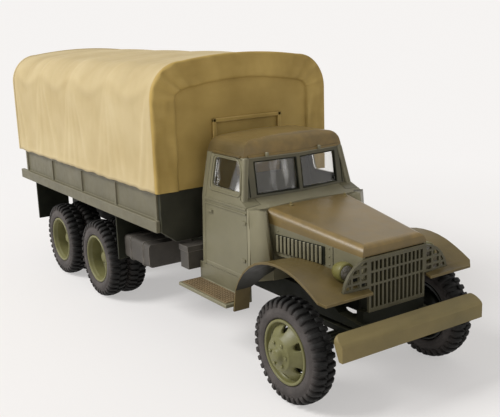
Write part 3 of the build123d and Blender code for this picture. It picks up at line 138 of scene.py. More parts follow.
def marked(tree, name):
    """The share from 0 to 1 that a piece's own attribute gives."""
    return add_node(tree, "Attribute", {}, attribute_name=name)["Fac"]


def fine_relief(tree, heights, strength, depth):
    """The tilt of a finish's surface, from a pattern of heights."""
    return add_node(tree, "Bump", {"Height": heights, "Strength": strength, "Distance": depth * MM})["Normal"]


def brushed_paint(name, coat, shade, rub_and_highlight_tone, shade_tone=FRAME_SHADE, gloss=(0.38, 0.55), stroke=EVEN, rub=0.75,
                  relief=0.25, shine=0.3):
    """Enamel laid on with a brush: clouds of two tones, fine strokes, a dry-brushed tone on worn edges, which
    is painted highlight on the canvas crests, and painted shade, a dark tone on the faces marked for it."""
    material, tree, finish = new_finish(name)
    cloud = patches(tree, CLOUD_SCALE, EVEN, low=0.32, high=0.68)
    strokes = patches(tree, STROKE_SCALE, stroke, low=0.36, high=0.66)
    grain = patches(tree, GRAIN_SCALE, EVEN, low=0.3, high=0.7)
    tone = mixed(tree, cloud, coat, shade)
    tone = mixed(tree, scaled(tree, strokes, 0.0, STROKE_TINT), tone, rub_and_highlight_tone)
    # The worn mark is edge wear and dry-brushing, and on the canvas crests it is painted highlight.
    rub_and_highlight_share = product(tree, marked(tree, "wear_and_highlight"), scaled(tree, strokes, LEAST_RUB * rub, rub))
    tone = mixed(tree, rub_and_highlight_share, tone, rub_and_highlight_tone)
    heights = mixed(tree, GRAIN_SHARE, strokes, grain)
    # Painted shade: the faces marked for it are darkened to the dark shade tone.
    feed(tree, mixed(tree, marked(tree, "painted_shade"), tone, shade_tone), finish["Base Color"])
    feed(tree, scaled(tree, strokes, *gloss), finish["Roughness"])
    feed(tree, fine_relief(tree, heights, relief, PAINT_DEPTH), finish["Normal"])
    feed(tree, shine, finish["Specular IOR Level"])
    return material


def meshed(form, name):
    """The mesh of a finished bmesh, which is freed."""
    mesh = bpy.data.meshes.new(name)
    form.to_mesh(mesh)
    form.free()
    return mesh


def placed(name, data):
    """A new object of the scene, at the origin."""
    made = bpy.data.objects.new(name, data)
    bpy.context.scene.collection.objects.link(made)
    return made


def piece(form, name, material, body, nodes=(), even=True):
    """Turns a finished bmesh into an object of the model that rides on a body and stands for its nodes."""
    for face in form.faces:
        face.smooth = True
    made = placed(name, meshed(form, name))
    made.data.materials.append(material)
    if even:
        made.modifiers.new("even shading", "WEIGHTED_NORMAL").weight = 60
    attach(made, body)
    if nodes:
        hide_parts(*nodes)
    return made


def rounded_edges(form, edges, width, segments=2):
    """Rounds edges and marks the rounded strips, where paint wears."""
    wear_and_highlight = form.faces.layers.float.get("wear_and_highlight") or form.faces.layers.float.new("wear_and_highlight")
    strips = bmesh.ops.bevel(form, geom=edges, offset=width * MM, offset_type="OFFSET", affect="EDGES",
                             segments=segments, profile=0.5, material=-1, clamp_overlap=True)
    for face in strips["faces"]:
        face[wear_and_highlight] = 1.0


def moulded(node, material, rounding, shaded_side=None, brushed_slope=None):
    """A moulding in its node's own form, with its sharp edges rounded, the faces turned to a shaded side
    darkened as painted shade and those of a brushed slope (a direction, and the least and most share of it)
    dry-brushed."""
    form = bmesh.new()
    form.from_mesh(frame["nodes"][node].data)
    bmesh.ops.remove_doubles(form, verts=form.verts, dist=WELD)
    bmesh.ops.dissolve_limit(form, angle_limit=FLAT_ANGLE, verts=form.verts, edges=form.edges)
    sharp = [edge for edge in form.edges if edge.calc_face_angle(0) > CREASE_ANGLE]
    rounded_edges(form, sharp, rounding)
    wear_and_highlight = form.faces.layers.float["wear_and_highlight"]
    painted_shade = form.faces.layers.float.new("painted_shade")
    form.normal_update()
    for face in form.faces:
        # Painted shade: faces turned to the shaded side are darkened.
        if shaded_side and face.normal.dot(Vector(shaded_side)) > DARK_SIDE_SHARE:
            face[painted_shade] = SHADED_SIDE_DARKNESS
        if brushed_slope:
            direction, least, most = brushed_slope
            if least < face.normal.dot(Vector(direction)) < most:
                face[wear_and_highlight] = SLOPE_RUB
    return piece(form, node + "_finish", material, frame["nodes"][node]["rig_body"], (node,))


frame_paint = brushed_paint("frame paint", FRAME_GREEN, FRAME_SHADE, FRAME_DUST, gloss=(0.55, 0.7),
                            shine=0.12)
for node in ("chassis_frame", "front_axle", "mid_axle", "rear_axle", "front_springs", "bogie_springs",
             "engine_block", "gearbox", "radiator", "bed_floor", "splash_guards", "tow_pintle"):
    made = moulded(node, frame_paint, FRAME_ROUNDING)
    for face, mark in zip(made.data.polygons, made.data.attributes["wear_and_highlight"].data):
        if face.center.x > HORN_X * MM and face.normal.z > DARK_SIDE_SHARE:
            mark.value = 1.0

# Tyres: soft vinyl rings stretched over the rims, with two rows of square lugs that reach down the
# shoulders and stand half a pitch apart. The sidewall is paler than the tread, from dust.
LUG_COUNT = 36
LUG_LENGTH = 0.86
LUG_ROUNDING = 0.13
TYRE_STEPS = 72
TYRE_HALF = 2.2
SHOULDER = 1.5
DUST_RADIUS = (7.6, 9.3)
TREAD_DUST = 0.3
VINYL = (0.012, 0.0118, 0.0108)
VINYL_SHADE = (0.0068, 0.0068, 0.0064)
SIDEWALL_DUST = (0.085, 0.074, 0.069)
MOTTLE_SCALE = 260
VINYL_GRAIN_SCALE = 1900
VINYL_RELIEF = 0.2
VINYL_DEPTH = 0.05
VINYL_SHINE = 0.2
# columns: distance from the tyre's middle, radius, down the left half of the carcass
CARCASS_HALF = [(0.0, 9.1), (0.9, 9.05), (1.5, 8.85), (1.9, 8.45), (2.06, 7.95), (2.08, 7.5),
                (2.2, 7.36), (2.2, 6.9), (2.12, 6.35), (1.92, 5.95)]
# columns: distance from the tyre's middle, radius, round one lug
LUG_SECTION = [(0.1, 8.85), (0.1, 9.6), (1.15, 9.46), (1.92, 9.16), (2.2, 8.7), (2.27, 8.0),
               (2.0, 7.9), (1.4, 8.6)]


def turned(form, section, steps):
    """Turns a closed (distance along Y, radius) section right round the Y axis."""
    ring = [form.verts.new((0, y * MM, radius * MM)) for y, radius in section]
    edges = [form.edges.new(pair) for pair in zip(ring, ring[1:] + ring[:1])]
    bmesh.ops.spin(form, geom=ring + edges, cent=(0, 0, 0), axis=(0, 1, 0), angle=2 * math.pi,
                   steps=steps, use_merge=True, use_duplicate=False)
    bmesh.ops.remove_doubles(form, verts=form.verts, dist=WELD)
    bmesh.ops.recalc_face_normals(form, faces=form.faces)


def add_form(form, other):
    """Adds another bmesh, which is freed, to a form."""
    mesh = meshed(other, "added form")
    form.from_mesh(mesh)
    bpy.data.meshes.remove(mesh)


def ramp(value, start, end):
    """A share that goes from 0 at the start to 1 at the end, and no further."""
    return min(max((value - start) / (end - start), 0.0), 1.0)


def lugged_tyre():
    """One tyre about the Y axis: the turned carcass with a row of lugs on each shoulder."""
    form = bmesh.new()
    turned(form, CARCASS_HALF + [(-y, radius) for y, radius in CARCASS_HALF[:0:-1]], TYRE_STEPS)
    row_turn = 2 * math.pi * (LUG_COUNT - 1) / LUG_COUNT
    for side, phase in ((1, 0.0), (-1, math.pi / LUG_COUNT)):
        lug = bmesh.new()
        corners = [Vector((-LUG_LENGTH / 2, side * y, radius)) * MM for y, radius in LUG_SECTION]
        cap = lug.faces.new([lug.verts.new(corner) for corner in corners])
        pulled = bmesh.ops.extrude_face_region(lug, geom=[cap], use_keep_orig=True)
        tips = [item for item in pulled["geom"] if isinstance(item, bmesh.types.BMVert)]
        bmesh.ops.translate(lug, verts=tips, vec=(LUG_LENGTH * MM, 0, 0))
        bmesh.ops.recalc_face_normals(lug, faces=lug.faces)
        bmesh.ops.bevel(lug, geom=lug.edges, offset=LUG_ROUNDING * MM, offset_type="OFFSET", affect="EDGES",
                        segments=1, profile=0.5, material=-1, clamp_overlap=True)
        bmesh.ops.rotate(lug, verts=lug.verts, cent=(0, 0, 0), matrix=Matrix.Rotation(phase, 3, "Y"))
        bmesh.ops.spin(lug, geom=lug.verts[:] + lug.edges[:] + lug.faces[:], cent=(0, 0, 0), axis=(0, 1, 0),
                       angle=row_turn, steps=LUG_COUNT - 1, use_duplicate=True)
        add_form(form, lug)
    return form


def dusty_vinyl():
    """Black vinyl, grey with dust towards the rim and cleaner on the lugs."""
    material, tree, finish = new_finish("tyre vinyl")
    mottle = patches(tree, MOTTLE_SCALE, EVEN, low=0.35, high=0.68)
    grain = patches(tree, VINYL_GRAIN_SCALE, EVEN, low=0.3, high=0.7)
    share = product(tree, marked(tree, "dusty"), scaled(tree, mottle, 0.55, 1.0))
    tone = mixed(tree, mottle, VINYL, VINYL_SHADE)
    feed(tree, mixed(tree, share, tone, SIDEWALL_DUST), finish["Base Color"])
    feed(tree, scaled(tree, grain, 0.55, 0.75), finish["Roughness"])
    feed(tree, fine_relief(tree, grain, VINYL_RELIEF, VINYL_DEPTH), finish["Normal"])
    feed(tree, VINYL_SHINE, finish["Specular IOR Level"])
    return material


tyre_vinyl = dusty_vinyl()
for node in sorted(name for name in frame["nodes"] if name.endswith("_tyre")):
    low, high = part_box(node)
    centre = (low + high) / 2
    span = (high.y - low.y) / 2 - TYRE_HALF * MM
    form = bmesh.new()
    for shift in sorted({-round(span, 6), round(span, 6)}):
        ring = lugged_tyre()
        dusty = ring.verts.layers.float.new("dusty")
        for vert in ring.verts:
            radius = math.hypot(vert.co.x, vert.co.z) / MM
            on_sidewall = abs(vert.co.y) > SHOULDER * MM
            vert[dusty] = ramp(radius, DUST_RADIUS[1], DUST_RADIUS[0]) * (1.0 if on_sidewall else TREAD_DUST)
        bmesh.ops.translate(ring, verts=ring.verts, vec=(centre.x, centre.y + shift, centre.z))
        add_form(form, ring)
    piece(form, node + "_vinyl", tyre_vinyl, frame["nodes"][node]["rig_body"], (node,))

# The front discs bulge outwards to a hub flange with six nuts and a cap; the rear ones carry two
# rims back to back round one deep disc.
WHEEL_STEPS = 72
HAND_HOLES = 6
HAND_HOLE_RADIUS = 0.68
HAND_HOLE_CIRCLE = 4.25
HAND_HOLE_Y = 2.0
HAND_HOLE_DEPTH = 3.6
HAND_HOLE_STEPS = 20
NUT_COUNT = 6
NUT_RADIUS = 0.36
NUT_HEIGHT = 0.34
NUT_TAPER = 0.8
NUT_ROUNDING = 0.05
SHADED_BACK_Y = 0.15
WHEEL_GREEN = (0.172, 0.164, 0.066)
WHEEL_SHADE = (0.126, 0.119, 0.044)
WHEEL_RUBBED = (0.36, 0.35, 0.21)
# columns: distance from the wheel's middle, radius, round half the section from the cap to the bore
FRONT_SECTION = [(4.1, 0.0), (4.1, 0.85), (3.95, 1.05), (3.45, 1.25), (3.3, 1.35), (3.3, 2.85), (3.2, 3.05),
                 (2.95, 3.14), (1.3, 4.9), (1.05, 5.15), (1.05, 5.24), (1.8, 5.3), (2.05, 5.36), (2.16, 5.5),
                 (2.16, 5.72), (2.05, 5.86), (1.7, 5.88), (-1.95, 5.88), (-2.0, 5.8), (-2.0, 5.35),
                 (0.2, 5.3), (0.6, 4.85), (2.2, 3.1), (2.1, 2.9), (0.2, 4.0), (-2.0, 4.0), (-2.0, 0.97),
                 (1.2, 0.97), (1.2, 0.0)]
TWIN_SECTION = [(2.8, 0.0), (2.8, 1.05), (2.6, 1.3), (1.55, 1.36), (1.5, 2.3), (1.4, 2.4), (0.82, 2.46),
                (0.8, 4.6), (0.95, 4.95), (1.3, 5.08), (3.35, 5.08), (3.5, 5.22), (4.2, 5.28), (4.45, 5.36),
                (4.56, 5.5), (4.56, 5.72), (4.45, 5.86), (4.1, 5.88), (0.6, 5.88), (0.5, 5.6), (-0.5, 5.6),
                (-0.6, 5.88), (-4.45, 5.88), (-4.5, 5.8), (-4.5, 5.35), (-1.0, 5.2), (-0.8, 5.0), (-0.8, 4.0),
                (-3.0, 4.0), (-3.0, 0.97), (1.8, 0.97), (1.8, 0.0)]
wheel_paint = brushed_paint("wheel paint", WHEEL_GREEN, WHEEL_SHADE, WHEEL_RUBBED, gloss=(0.38, 0.5), rub=0.6)


def on_circle(index, count, circle, y):
    """The place of one of a count of like things spaced round a circle about the Y axis."""
    angle = 2 * math.pi * index / count
    return Matrix.Translation(Vector((circle * math.cos(angle), y, circle * math.sin(angle))) * MM)


def disc_wheel(section, nut_circle, nut_base):
    """A turned wheel with hand holes cut through its disc and hexagonal nuts on its hub."""
    form = bmesh.new()
    turned(form, section, WHEEL_STEPS)
    drill = bmesh.new()
    for hole in range(HAND_HOLES):
        turn = on_circle(hole + 0.5, HAND_HOLES, HAND_HOLE_CIRCLE, HAND_HOLE_Y)
        bmesh.ops.create_cone(drill, cap_ends=True, segments=HAND_HOLE_STEPS, radius1=HAND_HOLE_RADIUS * MM,
                              radius2=HAND_HOLE_RADIUS * MM, depth=HAND_HOLE_DEPTH * MM,
                              matrix=turn @ Matrix.Rotation(math.pi / 2, 4, "X"))
    blank = placed("wheel_blank", meshed(form, "wheel blank"))
    cutter = placed("hand_hole_drill", meshed(drill, "hand hole drill"))
    cut = blank.modifiers.new("hand holes", "BOOLEAN")
    cut.operation = "DIFFERENCE"
    cut.object = cutter
    bpy.context.view_layer.update()
    drilled = bpy.data.meshes.new_from_object(blank.evaluated_get(bpy.context.evaluated_depsgraph_get()))
    form = bmesh.new()
    form.from_mesh(drilled)
    bpy.data.objects.remove(blank)
    bpy.data.objects.remove(cutter)
    bpy.data.meshes.remove(drilled)
    nuts = bmesh.new()
    for nut in range(NUT_COUNT):
        turn = on_circle(nut, NUT_COUNT, nut_circle, nut_base + NUT_HEIGHT / 2)
        bmesh.ops.create_cone(nuts, cap_ends=True, segments=6, radius1=NUT_RADIUS * MM,
                              radius2=NUT_TAPER * NUT_RADIUS * MM, depth=NUT_HEIGHT * MM,
                              matrix=turn @ Matrix.Rotation(-math.pi / 2, 4, "X"))
    sharp = [edge for edge in nuts.edges if edge.calc_face_angle(0) > CREASE_ANGLE]
    rounded_edges(nuts, sharp, NUT_ROUNDING, 1)
    add_form(form, nuts)
    # Painted shade: the wheel's half towards the truck and its inward-facing faces are darkened nearly black.
    painted_shade = form.faces.layers.float.new("painted_shade")
    form.normal_update()
    for face in form.faces:
        in_shade = face.calc_center_median().y < SHADED_BACK_Y * MM or face.normal.y < -DARK_SIDE_SHARE
        face[painted_shade] = 1.0 if in_shade else 0.0
    return form


# columns: start of the nodes' names, section, circle of the nuts, face that they stand on
for start, section, nut_circle, nut_base in (
    ("front", FRONT_SECTION, 2.2, 3.28),
    ("spare", FRONT_SECTION, 2.2, 3.28),
    ("mid", TWIN_SECTION, 1.85, 1.48),
    ("rear", TWIN_SECTION, 1.85, 1.48),
):
    for node in sorted(name for name in frame["nodes"] if name.startswith(start) and name.endswith("_wheel")):
        tyre_low, tyre_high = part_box(node.replace("_wheel", "_tyre"))
        form = disc_wheel(section, nut_circle, nut_base)
        if "_right" in node:
            bmesh.ops.rotate(form, verts=form.verts, cent=(0, 0, 0), matrix=Matrix.Rotation(math.pi, 3, "Z"))
        bmesh.ops.translate(form, verts=form.verts, vec=(tyre_low + tyre_high) / 2)
        piece(form, node + "_disc", wheel_paint, frame["nodes"][node]["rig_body"], (node,))

# Front bumper: a thick folded channel in one moulding, brushed in long strokes from end to end,
# ochre where the dry brush caught its top band, its crease and its ends.
BUMPER_ROUNDING = 0.2
BUMPER_BAND = ((0, 0, 1), 0.12, 0.9)
BUMPER_STROKE = (1, 0.12, 1)
BUMPER_OCHRE = (0.182, 0.138, 0.048)
BUMPER_SHADE = (0.126, 0.100, 0.034)
BUMPER_RUBBED = (0.30, 0.245, 0.12)
bumper_paint = brushed_paint("bumper paint", BUMPER_OCHRE, BUMPER_SHADE, BUMPER_RUBBED,
                             stroke=BUMPER_STROKE, rub=0.55)
moulded("front_bumper", bumper_paint, BUMPER_ROUNDING, brushed_slope=BUMPER_BAND)

# Grille and brush guards: one thin open moulding, glued to the radiator's face between the fenders;
# the flat of the bars is olive and their edges are pale from the dry brush.
GRILLE_ROUNDING = 0.07
GRILLE_OLIVE = (0.078, 0.070, 0.038)
GRILLE_SHADE = (0.054, 0.048, 0.025)
GRILLE_RUBBED = (0.20, 0.18, 0.11)
grille_paint = brushed_paint("grille paint", GRILLE_OLIVE, GRILLE_SHADE, GRILLE_RUBBED)
moulded("grille_guard", grille_paint, GRILLE_ROUNDING)

# Bonnet top and fenders: the body's upper mouldings, olive drab under a warm brown wash, rubbed with
# ochre along the shoulders and lips; the fenders are browner, and painted shade darkens them nearly black
# underneath.
BODY_ROUNDING = 0.16
BODY_OLIVE = (0.172, 0.120, 0.044)
BODY_SHADE = (0.130, 0.092, 0.035)
BODY_RUBBED = (0.33, 0.21, 0.062)
FENDER_BROWN = (0.120, 0.086, 0.030)
FENDER_SHADE = (0.088, 0.064, 0.022)
FENDER_RUBBED = (0.27, 0.205, 0.09)
HOOD_SLOPE = ((0, 0, 1), 0.62, 0.972)
UNDERSIDE = (0, 0, -1)
body_paint = brushed_paint("body paint", BODY_OLIVE, BODY_SHADE, BODY_RUBBED, gloss=(0.29, 0.35), rub=0.6,
                           relief=0.1)
fender_paint = brushed_paint("fender paint", FENDER_BROWN, FENDER_SHADE, FENDER_RUBBED, gloss=(0.3, 0.45),
                             rub=0.6, shine=0.2)
moulded("hood", body_paint, BODY_ROUNDING, brushed_slope=HOOD_SLOPE)
for node in ("fender_left", "fender_right"):
    # Painted shade on the fenders' down-facing faces.
    moulded(node, fender_paint, BODY_ROUNDING, shaded_side=UNDERSIDE)

# Bonnet catches: two small raised handles at the back of the bonnet top, one for each half, moulded
# with it and picked out in the bumper's ochre.
CATCH_ROUNDING = 0.1
CATCH_PLACES = [(40.3, -5.05, 31.05), (40.5, 8.2, 30.9)]
# columns: length, width and height of the block, lift over the catch's place
CATCH_BLOCKS = [((1.0, 0.5, 0.3), 0.0), ((0.5, 0.3, 0.7), 0.2)]


def rounded_blocks(name, blocks, rounding, material, segments=2):
    """A piece of the truck made of blocks with rounded edges, each given by its middle and its size."""
    form = bmesh.new()
    for middle, size in blocks:
        place = Matrix.Translation(Vector(middle) * MM) @ Matrix.Diagonal((*size, 1.0))
        bmesh.ops.create_cube(form, size=MM, matrix=place)
    rounded_edges(form, form.edges[:], rounding, segments)
    piece(form, name, material, "truck")


catches = [((x, y, z + lift), size) for x, y, z in CATCH_PLACES for size, lift in CATCH_BLOCKS]
rounded_blocks("hood_catches", catches, CATCH_ROUNDING, bumper_paint)

# Bonnet sides: thin panels in the greyer olive, partly painted sheen, with twelve pressed louvres each;
# painted shade in the slots darkens the fins' sides and a near-black plate behind them, and the fins were
# dry-brushed. A few rivets and a joint close the front end.
# The panels' greyer, paler olive is partly the paint's own tone and partly painted sheen, the light's glare
# on side-facing pieces.
PANEL_SHEEN_OLIVE = (0.172, 0.158, 0.097)
PANEL_SHEEN_SHADE = (0.140, 0.128, 0.077)
PANEL_RUBBED = (0.28, 0.26, 0.18)
HOOD_SIDE_ROUNDING = 0.06
HOOD_SIDE_REAR = (39.3, 10.45)
HOOD_SIDE_FRONT_Y = 7.5
HOOD_SIDE_RUN = 24.0
HOOD_SIDE_TAPER = (HOOD_SIDE_REAR[1] - HOOD_SIDE_FRONT_Y) / HOOD_SIDE_RUN
LOUVRES = 12
LOUVRE_FIRST_X = 42.9
LOUVRE_PITCH = 1.0
LOUVRE_Z = 24.9
LOUVRE_SIZE = (0.66, 1.0, 3.3)
LOUVRE_ROUNDING = 0.2
LOUVRE_FACE_SHARE = 0.5
LOUVRE_RUB = 0.4
LOUVRE_GAP_SHADE = 0.85
SLOT_PLATE = (12.6, 0.5, 3.3)
SLOT_DEPTH = 0.08
SLOT_ROUNDING = 0.03
JOINT_PLACE = (56.6, 24.7)
JOINT_SIZE = (0.16, 0.1, 4.2)
RIVET_RADIUS = 0.2
RIVET_STRETCH = (1, 0.7, 1)
# columns: x and z of each rivet
RIVETS = [(42.7, 27.2), (55.7, 26.35), (55.7, 24.9), (55.7, 23.4)]
sheen_panel_paint = brushed_paint("panel paint with painted sheen", PANEL_SHEEN_OLIVE, PANEL_SHEEN_SHADE, PANEL_RUBBED, gloss=(0.35, 0.5), rub=0.6)
moulded("hood_sides", sheen_panel_paint, HOOD_SIDE_ROUNDING)


def on_hood_side(side, x, z, size, proud=0.0):
    """The matrix that lays a box of a size, along, out of and up the panel, on one side of the bonnet."""
    y = side * (HOOD_SIDE_REAR[1] - HOOD_SIDE_TAPER * (x - HOOD_SIDE_REAR[0]) + proud)
    turn = Matrix.Rotation(-side * math.atan(HOOD_SIDE_TAPER), 4, "Z")
    return Matrix.Translation(Vector((x, y, z)) * MM) @ turn @ Matrix.Diagonal((*size, 1.0))


fins = bmesh.new()
slots = bmesh.new()
rivets = bmesh.new()
slots_x = LOUVRE_FIRST_X + (LOUVRES - 1) * LOUVRE_PITCH / 2
for side in (1, -1):
    for louvre in range(LOUVRES):
        place = on_hood_side(side, LOUVRE_FIRST_X + louvre * LOUVRE_PITCH, LOUVRE_Z, LOUVRE_SIZE)
        bmesh.ops.create_cube(fins, size=MM, matrix=place)
    place = on_hood_side(side, slots_x, LOUVRE_Z, SLOT_PLATE, -SLOT_DEPTH)
    bmesh.ops.create_cube(slots, size=MM, matrix=place)
    bmesh.ops.create_cube(slots, size=MM, matrix=on_hood_side(side, *JOINT_PLACE, JOINT_SIZE))
    for x, z in RIVETS:
        bmesh.ops.create_icosphere(rivets, subdivisions=2, radius=RIVET_RADIUS * MM,
                                   matrix=on_hood_side(side, x, z, RIVET_STRETCH))
rounded_edges(fins, fins.edges[:], LOUVRE_ROUNDING, 3)
painted_shade = fins.faces.layers.float.new("painted_shade")
wear_and_highlight = fins.faces.layers.float["wear_and_highlight"]
fins.normal_update()
# Painted shade: fin faces that do not face outwards are darkened.
for face in fins.faces:
    outward = abs(face.normal.y) > LOUVRE_FACE_SHARE
    face[wear_and_highlight] = LOUVRE_RUB if outward else 0.0
    face[painted_shade] = 0.0 if outward else LOUVRE_GAP_SHADE
rounded_edges(slots, slots.edges[:], SLOT_ROUNDING, 1)
piece(fins, "louvre_fins", sheen_panel_paint, "truck")
# Painted shade: the near-black plate sunk behind the fins stands for the shade in the louvre slots.
piece(slots, "louvre_slots", frame_paint, "truck")
piece(rivets, "hood_side_rivets", sheen_panel_paint, "truck")

# Headlamps: turned bullet shells in a yellower green, hollow behind their lips, each closed by a domed
# lens of clear styrene and glued in beside the grille, behind its brush guard.
LAMP_STEPS = 40
LAMP_INSET = 1.45
# columns: distance ahead of the lamp's face, radius, from the lip round the shell and its bowl
LAMP_SECTION = [(0.12, 1.32), (0.2, 1.5), (0.1, 1.68), (-0.2, 1.74), (-0.9, 1.74), (-1.6, 1.6), (-2.4, 1.2),
                (-3.0, 0.65), (-3.2, 0.0), (-2.9, 0.0), (-1.1, 0.3), (-0.75, 0.8), (-0.3, 1.2)]
LENS_SECTION = [(0.02, 0.0), (0.02, 1.3), (0.14, 1.3), (0.28, 0.95), (0.36, 0.5), (0.38, 0.0)]
LAMP_GREEN = (0.140, 0.128, 0.033)
LAMP_SHADE = (0.100, 0.092, 0.024)
LENS_TINT = (0.20, 0.18, 0.14)
PLASTIC_IOR = 1.45
SMEAR_SCALE = 420
SMEAR_STRETCH = (1, 1, 0.16)
SMEAR_EDGE = 0.3
CLEAN_ROUGHNESS = 0.03
SMEAR_ROUGHNESS = 0.4
lamp_paint = brushed_paint("lamp paint", LAMP_GREEN, LAMP_SHADE, BUMPER_RUBBED, gloss=(0.35, 0.5))


def clear_plastic(name, tint, clearness, streaks):
    """Clear styrene, with wiped smears on the truck's right that scatter more light the higher streaks is."""
    material, tree, finish = new_finish(name)
    y = add_node(tree, "SeparateXYZ", {"Vector": add_node(tree, "TexCoord", {})["Object"]})["Y"]
    edges = {"Value": y, "From Min": SMEAR_EDGE * MM, "From Max": -SMEAR_EDGE * MM}
    on_right = add_node(tree, "MapRange", edges)["Result"]
    smears = product(tree, patches(tree, SMEAR_SCALE, SMEAR_STRETCH, low=0.52, high=0.7), on_right)
    smeared = CLEAN_ROUGHNESS + SMEAR_ROUGHNESS * streaks
    feed(tree, tint, finish["Base Color"])
    feed(tree, PLASTIC_IOR, finish["IOR"])
    feed(tree, scaled(tree, smears, clearness, clearness - streaks), finish["Transmission Weight"])
    feed(tree, scaled(tree, smears, CLEAN_ROUGHNESS, smeared), finish["Roughness"])
    return material


lens_plastic = clear_plastic("lens plastic", LENS_TINT, clearness=0.3, streaks=0.1)
low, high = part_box("headlamp_lenses")
# columns: piece, section, material, slot, node that it stands for
for name, section, material, slot, node in (
    ("headlamp_shells", LAMP_SECTION, lamp_paint, "lamp_paint", "headlamps"),
    ("headlamp_panes", LENS_SECTION, lens_plastic, "clear_plastic", "headlamp_lenses"),
):
    pair = bmesh.new()
    for side in (1, -1):
        shell = bmesh.new()
        turned(shell, section, LAMP_STEPS)
        forwards = Matrix.Rotation(-math.pi / 2, 3, "Z")
        bmesh.ops.rotate(shell, verts=shell.verts, cent=(0, 0, 0), matrix=forwards)
        place = Vector((low.x, side * (high.y - LAMP_INSET * MM), (low.z + high.z) / 2))
        bmesh.ops.translate(shell, verts=shell.verts, vec=place)
        add_form(pair, shell)
    piece(pair, name, material, "truck", (node,))

# Cab: roof, back, cowl, floor and doors are separate shells in the model's olive; the doors are greyer,
# partly painted sheen, the cowl sides paler still as painted light, and the roof carries the bonnet's brown
# wash, darkened down its sides by painted shade.
# Painted light: the cowl's paler olive lightens faces that turn away from the lamp.
COWL_LIGHTENED_OLIVE = (0.225, 0.205, 0.130)
COWL_LIGHTENED_SHADE = (0.185, 0.168, 0.104)
ROOF_ROUNDING = 0.3
ROOF_SLOPE = ((1, 0, 0), 0.5, 1.1)
ROOF_SIDE_SHADE = 0.7
cowl_lightened_paint = brushed_paint("cowl paint lightened as painted light", COWL_LIGHTENED_OLIVE, COWL_LIGHTENED_SHADE, PANEL_RUBBED, gloss=(0.35, 0.5), rub=0.6)
roof = moulded("cab_roof", body_paint, ROOF_ROUNDING, brushed_slope=ROOF_SLOPE)
# Painted shade: the roof's side faces are darkened.
for face, mark in zip(roof.data.polygons, roof.data.attributes["painted_shade"].data):
    mark.value = ROOF_SIDE_SHADE * max(abs(face.normal.y) - DARK_SIDE_SHARE, 0.0)
moulded("cowl", cowl_lightened_paint, BODY_ROUNDING)
for node in ("cab_back", "cab_floor", "door_left", "door_right"):
    moulded(node, sheen_panel_paint, BODY_ROUNDING)

# Cowl cheeks: the flat sides of the cowl that draw in from each door to the bonnet's rear edge; part of
# the cowl's own moulding, in the same paint, lightened as painted light.
CHEEK_FOOT_Z = 20.4
CHEEK_ROUNDING = 0.5
CHEEK_STEPS = 4
CHEEK_NOSE_X = 40.5
CHEEK_NOSE_Y = 10.8
# keys: end and side of the blank that a corner comes from
# columns: x and y at the foot, x, y and z at the head
CHEEK_CORNERS = {
    (-1, 1): (39.95, 14.5, 39.3, 14.1, 31.2),
    (1, 1): (43.1, 11.6, 41.2, 11.6, 30.7),
    (1, -1): (41.8, 10.1, 39.7, 10.2, 30.7),
    (-1, -1): (38.97, 10.1, 38.15, 10.2, 31.2),
}
cheeks = bmesh.new()
for side in (1, -1):
    for vert in bmesh.ops.create_cube(cheeks, size=2.0)["verts"]:
        foot_x, foot_y, head_x, head_y, head_z = CHEEK_CORNERS[round(vert.co.x), round(vert.co.y)]
        foot = (foot_x, side * foot_y, CHEEK_FOOT_Z)
        head = (head_x, side * head_y, head_z)
        vert.co = Vector(foot if vert.co.z < 0 else head) * MM
bmesh.ops.recalc_face_normals(cheeks, faces=cheeks.faces)
noses = {vert for vert in cheeks.verts
         if vert.co.x > CHEEK_NOSE_X * MM and abs(vert.co.y) > CHEEK_NOSE_Y * MM}
nose_edges = [edge for edge in cheeks.edges if noses.issuperset(edge.verts)]
rounded_edges(cheeks, nose_edges, CHEEK_ROUNDING, CHEEK_STEPS)
wear_and_highlight = cheeks.faces.layers.float["wear_and_highlight"]
for face in cheeks.faces:
    face[wear_and_highlight] = 0.0
piece(cheeks, "cowl_cheeks", cowl_lightened_paint, "truck")

# Windscreen frame and corner posts: a flat frame round both panes, edged with dark rubber, between two
# rounded posts that run from the cowl up to the roof's lip.
SCREEN_FOOT = (37.045, 32.5)
SCREEN_RAKE = 1.0 / 6.75
SCREEN_SWEEP = 0.1
POST_FOOT = Vector((35.95, 12.95, 31.9))
POST_HEAD = Vector((34.6, 11.45, 40.3))
POST_SIZE = (1.15, 1.35)
POST_ROUNDING = 0.4
BAR_DEPTH = 0.6
BAR_ROUNDING = 0.06
RUBBER_ROUNDING = 0.05
# columns: inner and outer y, low and high z, how far it stands out of the screen's plane
SCREEN_BARS = [
    (9.9, 12.2, 32.55, 40.0, 0.12),
    (0.0, 12.2, 39.25, 40.0, 0.1),
    (0.0, 12.2, 32.5, 33.1, 0.1),
    (0.0, 0.5, 32.6, 39.8, 0.16),
]
SCREEN_RUBBERS = [
    (9.72, 10.02, 33.0, 39.35, 0.2),
    (0.4, 0.62, 33.0, 39.35, 0.22),
    (0.4, 10.0, 39.15, 39.38, 0.18),
    (0.4, 10.0, 32.98, 33.2, 0.18),
    (11.3, 11.55, 32.7, 40.0, 0.2),
]
INSIDE_GREEN = (0.060, 0.058, 0.036)
SCREEN_DARK = (0.105, 0.092, 0.052)
screen_paint = brushed_paint("screen frame paint", SCREEN_DARK, INSIDE_GREEN, PANEL_SHEEN_OLIVE, gloss=(0.3, 0.45),
                             rub=0.5)


def on_screen(side, y, z, proud):
    """A point on the raked and swept plane of the windscreen, or as far out of it as it stands proud."""
    x = SCREEN_FOOT[0] - SCREEN_RAKE * (z - SCREEN_FOOT[1]) - SCREEN_SWEEP * y + proud
    return Vector((x, side * y, z)) * MM


